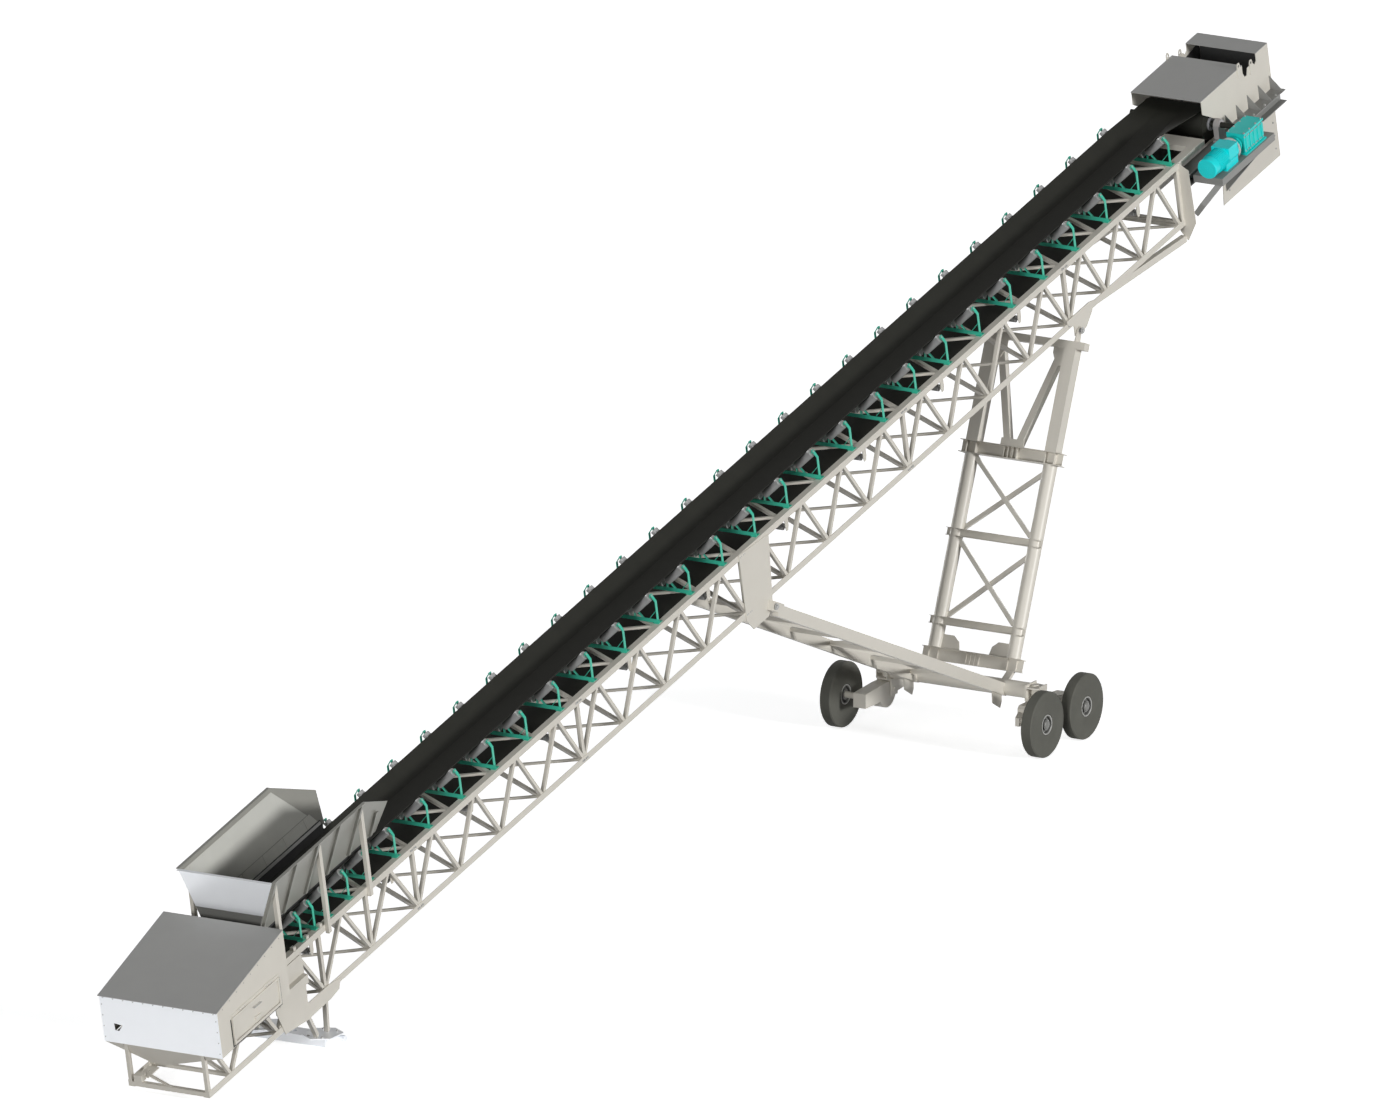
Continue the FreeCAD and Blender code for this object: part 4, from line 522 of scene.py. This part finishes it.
# ---- pivot bolts -------------------------------------------------------------------------
# Four anchor bolts through each ground plate of the tail's pivot base.
# Zinc plated steel with washers, drawn down on the pale plates.
base_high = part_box("pivot_base")[1]
ANCHOR_IN = 0.26
ANCHOR_LINES = (-0.22, 0.22)
FROM_PLATE_MIDDLE = np.array((-0.12, 0.12))
shapes = []
for side in (NEAR, FAR):
    lines = side * (base_high[1] - ANCHOR_IN) + FROM_PLATE_MIDDLE
    corners = np.meshgrid(ANCHOR_LINES, lines, base_high[2], indexing="ij")
    shapes += bolts(np.stack(corners, axis=-1), SKYWARD, across=0.03)
pivot_bolts = mesh_piece("pivot_bolts", shapes, zinc)
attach(pivot_bolts, "machine")

# ---- pin keepers -------------------------------------------------------------------------
# A collar and a split pin over a washer on each end of the frame's pins, at the struts' heads and
# the mast's top. Turned steel discs, zinc plated, held by the split pin through the pin's end.
PIN_ENDS = np.array(((12.952, 0.8252, 3.746), (22.338, 0.7882, 5.888)))
WASHER = [(0.0, 0.052), (0.008, 0.052), (0.010, 0.050)]
COLLAR = [(0.0, 0.028), (0.018, 0.028), (0.022, 0.024)]
COLLAR_SEAT = 0.0102
SPLIT_PIN = [(-0.045, 0.004), (0.045, 0.004)]
SPLIT_PIN_SEAT = 0.020
shapes = []
for pin_end in PIN_ENDS:
    for side in (NEAR, FAR):
        way = side * ACROSS
        face = pin_end * (1, side, 1)
        shapes.append(turned(face, way, WASHER, sides=32))
        shapes.append(turned(face + way * COLLAR_SEAT, way, COLLAR, sides=24))
        shapes.append(turned(face + way * SPLIT_PIN_SEAT, FORWARD, SPLIT_PIN, sides=8))
pin_keepers = mesh_piece("pin_keepers", shapes, zinc)
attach(pin_keepers, "machine")

# ---- wheels ------------------------------------------------------------------------------
# Solid, olive grey rubber tyres pressed on dark painted steel wheels, each on its own stub axle.
# A thin, bright lock ring of spring steel sits round each rim's outer edge, on both faces.
WHEELS = (("near_front", 19.415, NEAR), ("near_rear", 20.635, NEAR), ("far_front", 19.415, FAR))
WHEEL_OUT = 1.7585
WHEEL_HIGH = 0.51
HALF_TYRE = 0.0915
RING_SEAT = HALF_TYRE - 0.0138
LOCK_RING = [(0.0, 0.142), (0.0, 0.1545), (0.008, 0.1545), (0.012, 0.1505), (0.012, 0.146), (0.008, 0.142)]
bright_steel = finish("rim_ring", (0.52, 0.52, 0.50), rough=0.35, mottle=0.04)
tyre_rubber = finish("tyre_rubber", (0.115, 0.115, 0.10), rough=0.8, mottle=0.08, grain=0.2, shine=0.2)
coat(tyre_rubber, *nodes_of("tyre_rubber"))
for name, x, side in WHEELS:
    centre = np.array((x, side * WHEEL_OUT, WHEEL_HIGH))
    rings = []
    for way in (-ACROSS, ACROSS):
        rings.append(turned(centre + RING_SEAT * way, way, LOCK_RING, sides=48, closed=True))
    rim_ring = mesh_piece(name + "_rim_ring", rings, bright_steel)
    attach(rim_ring, name + "_wheel")

# ---- wheel nuts --------------------------------------------------------------------------
# Six nuts on each face of each wheel's disc, and a domed cap over the hub's bearing.
# Painted with the hub; the nuts are drawn up on its studs and the cap is tapped in.
HUB_CAP = [(0.0, 0.072), (0.010, 0.070), (0.018, 0.060), (0.023, 0.042), (0.025, 0.02)]
CAP_SEAT = HALF_TYRE - 0.0098
NUT_SEAT = HALF_TYRE - 0.0598
STUD_CIRCLE = 0.108
FIRST_STUD = 0.3
hub_paint = finish("hub_paint", (0.18, 0.18, 0.17), rough=0.4, mottle=0.05)
coat(hub_paint, *nodes_of("hub_paint"))
for name, x, side in WHEELS:
    centre = np.array((x, side * WHEEL_OUT, WHEEL_HIGH))
    studs = centre + round_circle(6, STUD_CIRCLE, FIRST_STUD, FORWARD, SKYWARD)
    shapes = [turned(centre + CAP_SEAT * side * ACROSS, side * ACROSS, HUB_CAP, sides=32)]
    for way in (-ACROSS, ACROSS):
        shapes += bolts(studs + NUT_SEAT * way, way, across=0.024)
    nuts = mesh_piece(name + "_wheel_nuts", shapes, hub_paint)
    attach(nuts, name + "_wheel")

# ---- head box lining ---------------------------------------------------------------------
# Rubber sheets inside the front part of the head box, where the thrown load strikes.
# Bolted flat to the plates' inner faces. Their black also stands for the shade on these inner faces: painted
# shade.
LINING = 0.010
HALF_WIDTH = 0.59
SIDE_FACE = 0.6045
WALL_FACE = 33.2015
WALL_HEIGHTS = np.array((-0.9, 0.53))
HOOD_FACE = 0.5375
HOOD_RUN = np.array((32.86, 33.18))
SIDE_SHEET = ((32.48, -0.30), (33.19, -0.30), (33.19, 0.40), (32.48, 0.28))
across_box = HALF_WIDTH * np.array((-1, 1, 1, -1))
on_wall = on_belt(WALL_FACE, across_box, WALL_HEIGHTS[[0, 0, 1, 1]])
on_hood = on_belt(HOOD_RUN[[0, 0, 1, 1]], across_box, HOOD_FACE)
shapes = [plate(on_wall, -ALONG, LINING), plate(on_hood, -UP, LINING)]
for side in (NEAR, FAR):
    u, v = np.array(SIDE_SHEET).T
    shapes.append(plate(on_belt(u, side * SIDE_FACE, v), -side * ACROSS, LINING))
# Black rubber sheets that also stand for the shade inside the head box: painted shade.
head_lining_painted_shade = mesh_piece("head_lining_painted_shade", shapes, black_rubber)
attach(head_lining_painted_shade, "machine")

# ---- head box bolts ----------------------------------------------------------------------
# Rows of bolts that hold the front wall to the side plates, and the linings inside them.
# Zinc plated steel with washers.
WALL_BOLTS = 0.44 - 0.19 * np.arange(10)
WALL_BOLT_OUT = 0.575
WALL_FRONT = 33.21
SIDE_BOLTS = -0.55 - 0.22 * np.arange(4)
SIDE_BOLT_LINES = (31.62, 33.10)
SIDE_OUT = 0.613
shapes = []
for side in (NEAR, FAR):
    on_sides = rows_on_belt(SIDE_BOLT_LINES, side * SIDE_OUT, SIDE_BOLTS)
    shapes += bolts(on_belt(WALL_FRONT, side * WALL_BOLT_OUT, WALL_BOLTS), ALONG, across=0.022)
    shapes += bolts(on_sides, side * ACROSS, across=0.022)
head_box_bolts = mesh_piece("head_box_bolts", shapes, zinc)
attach(head_box_bolts, "machine")

# ---- side shelves and deck ---------------------------------------------------------------
# Shelves with gussets along the head box and the drive's deck below them, in a darker grey that is painted
# shade.
# Zinc plated bolts hold the truss's end plates, and the shelves between their gussets.
END_PLATE_BOLTS = (-0.16, -0.45, -0.75, -1.02)
END_PLATE_BOLT_OUT = 0.66
END_PLATE_FACE = 30.1125
SHELF_BOLTS = 31.925 + 0.35 * np.arange(4)
SHELF_BOLT_OUT = 0.80
SHELF_TOP = -0.213
# The darker grey of the deck, shelves and gussets is painted shade.
deck_painted_shade = finish("deck_painted_shade", (0.24, 0.24, 0.23), rough=0.4, mottle=0.03)
coat(deck_painted_shade, "drive_deck", "side_shelves")
shapes = []
for side in (NEAR, FAR):
    on_end_plate = on_belt(END_PLATE_FACE, side * END_PLATE_BOLT_OUT, END_PLATE_BOLTS)
    shapes += bolts(on_end_plate, ALONG, across=0.026)
    shapes += bolts(on_belt(SHELF_BOLTS, side * SHELF_BOLT_OUT, SHELF_TOP), UP, across=0.026)
head_bolts = mesh_piece("head_bolts", shapes, zinc)
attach(head_bolts, "machine")

# ---- motor -------------------------------------------------------------------------------
# A flanged motor in cyan enamel: cast frame with cooling fins, and a pressed cowl with its grille.
# The fins are cast with the frame and leave out its underside, where the feet are. The cowl is
# screwed on over the fan.
DRIVE_Y = -1.15
DRIVE_V = -0.0875
COWL = [(-0.006, 0.146), (-0.004, 0.156), (0.002, 0.162), (0.012, 0.1655), (0.125, 0.1655), (0.130, 0.156)]
COWL_START = 30.1805
GRILLE_START = 30.1745
GRILLE_STEPS = 4
GRILLE_RADIUS = 0.130
GRILLE_WIDTH = 0.026
GRILLE_EDGE = 0.002
GRILLE_DEEP = 0.0015
FINS = 36
FIN_RUN = (30.32, 30.60)
FIN_RADII = np.array((0.150, 0.171))
FIN_THICK = 0.005
FEET_SIDE = 0.75
motor_paint = finish("motor_paint", (0.0, 0.74, 0.76), rough=0.35, mottle=0.02)
coat(motor_paint, *nodes_of("motor_paint"))


def fin(t):
    """A flat fin: a rectangle along the motor between two radii, square to its circle at angle t."""
    out = math.sin(t) * ACROSS + math.cos(t) * UP
    flat = np.cross(ALONG, out)
    ends = on_belt(np.array(FIN_RUN)[[0, 1, 1, 0]], DRIVE_Y, DRIVE_V)
    return plate(ends + FIN_RADII[[0, 0, 1, 1]][:, None] * out - flat * FIN_THICK / 2, flat, FIN_THICK)


shapes = [turned(on_belt(COWL_START, DRIVE_Y, DRIVE_V), ALONG, COWL, sides=64)]
for k in range(1, GRILLE_STEPS + 1):
    radius = GRILLE_RADIUS - GRILLE_WIDTH * k
    step = [(0.0, radius), (GRILLE_DEEP * k, radius - GRILLE_EDGE)]
    shapes.append(turned(on_belt(GRILLE_START, DRIVE_Y, DRIVE_V), -ALONG, step, sides=40))
turns = np.arange(FINS) * 2 * math.pi / FINS
clear_of_feet = turns[np.cos(turns - math.pi) <= FEET_SIDE]
shapes += [fin(t) for t in clear_of_feet]
motor_trim = mesh_piece("motor_trim", shapes, motor_paint)
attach(motor_trim, "machine")

# ---- gearbox -----------------------------------------------------------------------------
# A ribbed, cast housing in teal enamel with a short neck to the motor's bright flange.
# The neck is turned and painted with the housing, and the flange is left bright.
FLANGE_START = 30.905
FLANGE = [(0.0, 0.16), (0.0, 0.178), (0.03, 0.178), (0.034, 0.17), (0.034, 0.05)]
NECK_START = 30.94
NECK = [(0.0, 0.105), (0.10, 0.105), (0.105, 0.12), (0.14, 0.12)]
gearbox_paint = finish("gearbox_paint", (0.01, 0.64, 0.60), rough=0.35, mottle=0.02)
coat(gearbox_paint, *nodes_of("gearbox_paint"))
flange = turned(on_belt(FLANGE_START, DRIVE_Y, DRIVE_V), ALONG, FLANGE, sides=56)
motor_flange = mesh_piece("motor_flange", [flange], bright_steel)
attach(motor_flange, "machine")
neck = turned(on_belt(NECK_START, DRIVE_Y, DRIVE_V), ALONG, NECK, sides=40)
motor_neck = mesh_piece("motor_neck", [neck], gearbox_paint)
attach(motor_neck, "machine")

# ---- drive bolts -------------------------------------------------------------------------
# Bolts of the motor's feet, the gearbox's flanges and lid, and the head pulley's bearing feet.
# Zinc plated steel with flat washers.
GEARBOX_FACE = -1.3005
FLANGE_ROWS = (-0.205, 0.030)
PANELS = 31.095 + 0.12 * (np.arange(5) + 0.5)
FROM_PANEL = (-0.035, 0.035)
LID_BOLTS = (31.13, 31.30, 31.49, 31.66)
LID_LINES = (-1.29, -1.02)
LID_TOP = 0.085
MOTOR_FEET = (30.56, 30.80)
MOTOR_FEET_Y = DRIVE_Y - 0.135
MOTOR_FEET_TOP = -0.148
BEARING_FEET = HEAD_PULLEY[0] + np.array((-0.12, 0.12))
BEARING_LINES = (-0.76, 0.76)
on_flanges = rows_on_belt((PANELS[:, None] + FROM_PANEL).ravel(), GEARBOX_FACE, FLANGE_ROWS)
shapes = bolts(on_flanges, -ACROSS, across=0.020)
shapes += bolts(rows_on_belt(LID_BOLTS, LID_LINES, LID_TOP), UP, across=0.022)
shapes += bolts(on_belt(MOTOR_FEET, MOTOR_FEET_Y, MOTOR_FEET_TOP), UP, across=0.020)
shapes += bolts(rows_on_belt(BEARING_FEET, BEARING_LINES, SHELF_TOP), UP, across=0.03)
drive_bolts = mesh_piece("drive_bolts", shapes, zinc)
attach(drive_bolts, "machine")

# ---- studio floor and sky ----------------------------------------------------------------
# A plain, near white floor, and a plain sky that is white to the eye and weak as a light.
# Bounced light sees a dull floor, so that undersides stay in shade.
FLOOR = ((-150, -150, 0), (180, -150, 0), (180, 150, 0), (-150, 150, 0))
floor_mesh = bpy.data.meshes.new("floor")
floor_mesh.from_pydata(FLOOR, [], [(0, 1, 2, 3)])
floor = bpy.data.objects.new("floor", floor_mesh)
bpy.context.scene.collection.objects.link(floor)
pale_floor = bpy.data.materials.new("pale_floor")
pale_floor.use_nodes = True
tree = pale_floor.node_tree
shader = tree.nodes["Principled BSDF"]
shader.inputs["Base Color"].default_value = (0.93, 0.94, 0.95, 1.0)
shader.inputs["Roughness"].default_value = 0.9
shader.inputs["Emission Color"].default_value = (1.0, 1.0, 1.0, 1.0)
shader.inputs["Emission Strength"].default_value = 0.70
dull = tree.nodes.new("ShaderNodeBsdfDiffuse")
dull.inputs["Color"].default_value = (0.2, 0.2, 0.2, 1.0)
ray = tree.nodes.new("ShaderNodeLightPath")
either = tree.nodes.new("ShaderNodeMath")
either.operation = "MAXIMUM"
tree.links.new(ray.outputs["Is Camera Ray"], either.inputs[0])
tree.links.new(ray.outputs["Is Glossy Ray"], either.inputs[1])
choice = tree.nodes.new("ShaderNodeMixShader")
tree.links.new(either.outputs[0], choice.inputs["Fac"])
tree.links.new(dull.outputs[0], choice.inputs[1])
tree.links.new(shader.outputs[0], choice.inputs[2])
tree.links.new(choice.outputs[0], tree.nodes["Material Output"].inputs["Surface"])
floor_mesh.materials.append(pale_floor)

SEEN = 0.90
MIRRORED = 0.35
CAST = 0.10
world = bpy.data.worlds.new("studio")
bpy.context.scene.world = world
world.use_nodes = True
tree = world.node_tree
sky = tree.nodes["Background"]
sky.inputs["Color"].default_value = (1.0, 1.0, 1.0, 1.0)
ray = tree.nodes.new("ShaderNodeLightPath")
seen = tree.nodes.new("ShaderNodeMath")
seen.operation = "MULTIPLY_ADD"
seen.inputs[1].default_value = SEEN
seen.inputs[2].default_value = CAST
mirrored = tree.nodes.new("ShaderNodeMath")
mirrored.operation = "MULTIPLY_ADD"
mirrored.inputs[1].default_value = MIRRORED
tree.links.new(ray.outputs["Is Camera Ray"], seen.inputs[0])
tree.links.new(ray.outputs["Is Glossy Ray"], mirrored.inputs[0])
tree.links.new(seen.outputs[0], mirrored.inputs[2])
tree.links.new(mirrored.outputs[0], sky.inputs["Strength"])

# ---- studio lamps ------------------------------------------------------------------------
# Four wide, distant lamps near the horizon shine on the tail, the near side, the far side and the
# head end, so that every side of the machine is lit and no pale sheet burns out.
LAMPS = (("key", (0.97, 0.16, -0.14), 1.6, 18), ("fill", (0.10, 0.96, -0.21), 2.25, 9),
         ("far_side", (-0.30, -0.94, -0.12), 1.7, 30), ("head_end", (-0.98, -0.05, -0.12), 0.9, 30))
for name, way, strength, spread in LAMPS:
    light = bpy.data.lights.new(name, "SUN")
    light.energy = strength
    light.angle = math.radians(spread)
    lamp = bpy.data.objects.new(name, light)
    lamp.rotation_mode = "QUATERNION"
    lamp.rotation_quaternion = Vector(way).to_track_quat("-Z", "Y")
    bpy.context.scene.collection.objects.link(lamp)

# ---- camera ------------------------------------------------------------------------------
# A very long lens far off, so that lines along the truss stay almost parallel.
# It looks down from the near side of the tail, at a place left of the front wheels and above them.
RISE = math.radians(15.1)
TURN = math.radians(60.0)
LENS = 1360.0
DISTANCE = 796.25
FRONT_WHEELS = Vector((19.415, 0.0, 0.0))
LEFT_OF_WHEELS = 3.6690
ABOVE_WHEELS = 2.7527
MIDDLE = Vector((12.0, 0.0, 4.0))
look = Vector((math.sin(TURN) * math.cos(RISE), math.cos(TURN) * math.cos(RISE), -math.sin(RISE)))
right = Vector((math.cos(TURN), -math.sin(TURN), 0.0))
aim = FRONT_WHEELS - right * LEFT_OF_WHEELS + right.cross(look) * ABOVE_WHEELS
aim = aim + look * (MIDDLE - aim).dot(look)
lens = bpy.data.cameras.new("camera")
lens.lens = LENS
lens.sensor_width = 36.0
lens.clip_start = 10.0
lens.clip_end = 3000.0
camera = bpy.data.objects.new("camera", lens)
camera.rotation_mode = "QUATERNION"
camera.rotation_quaternion = look.to_track_quat("-Z", "Y")
camera.location = aim - look * DISTANCE
bpy.context.scene.collection.objects.link(camera)
bpy.context.scene.camera = camera
bpy.context.scene.view_settings.view_transform = "Standard"
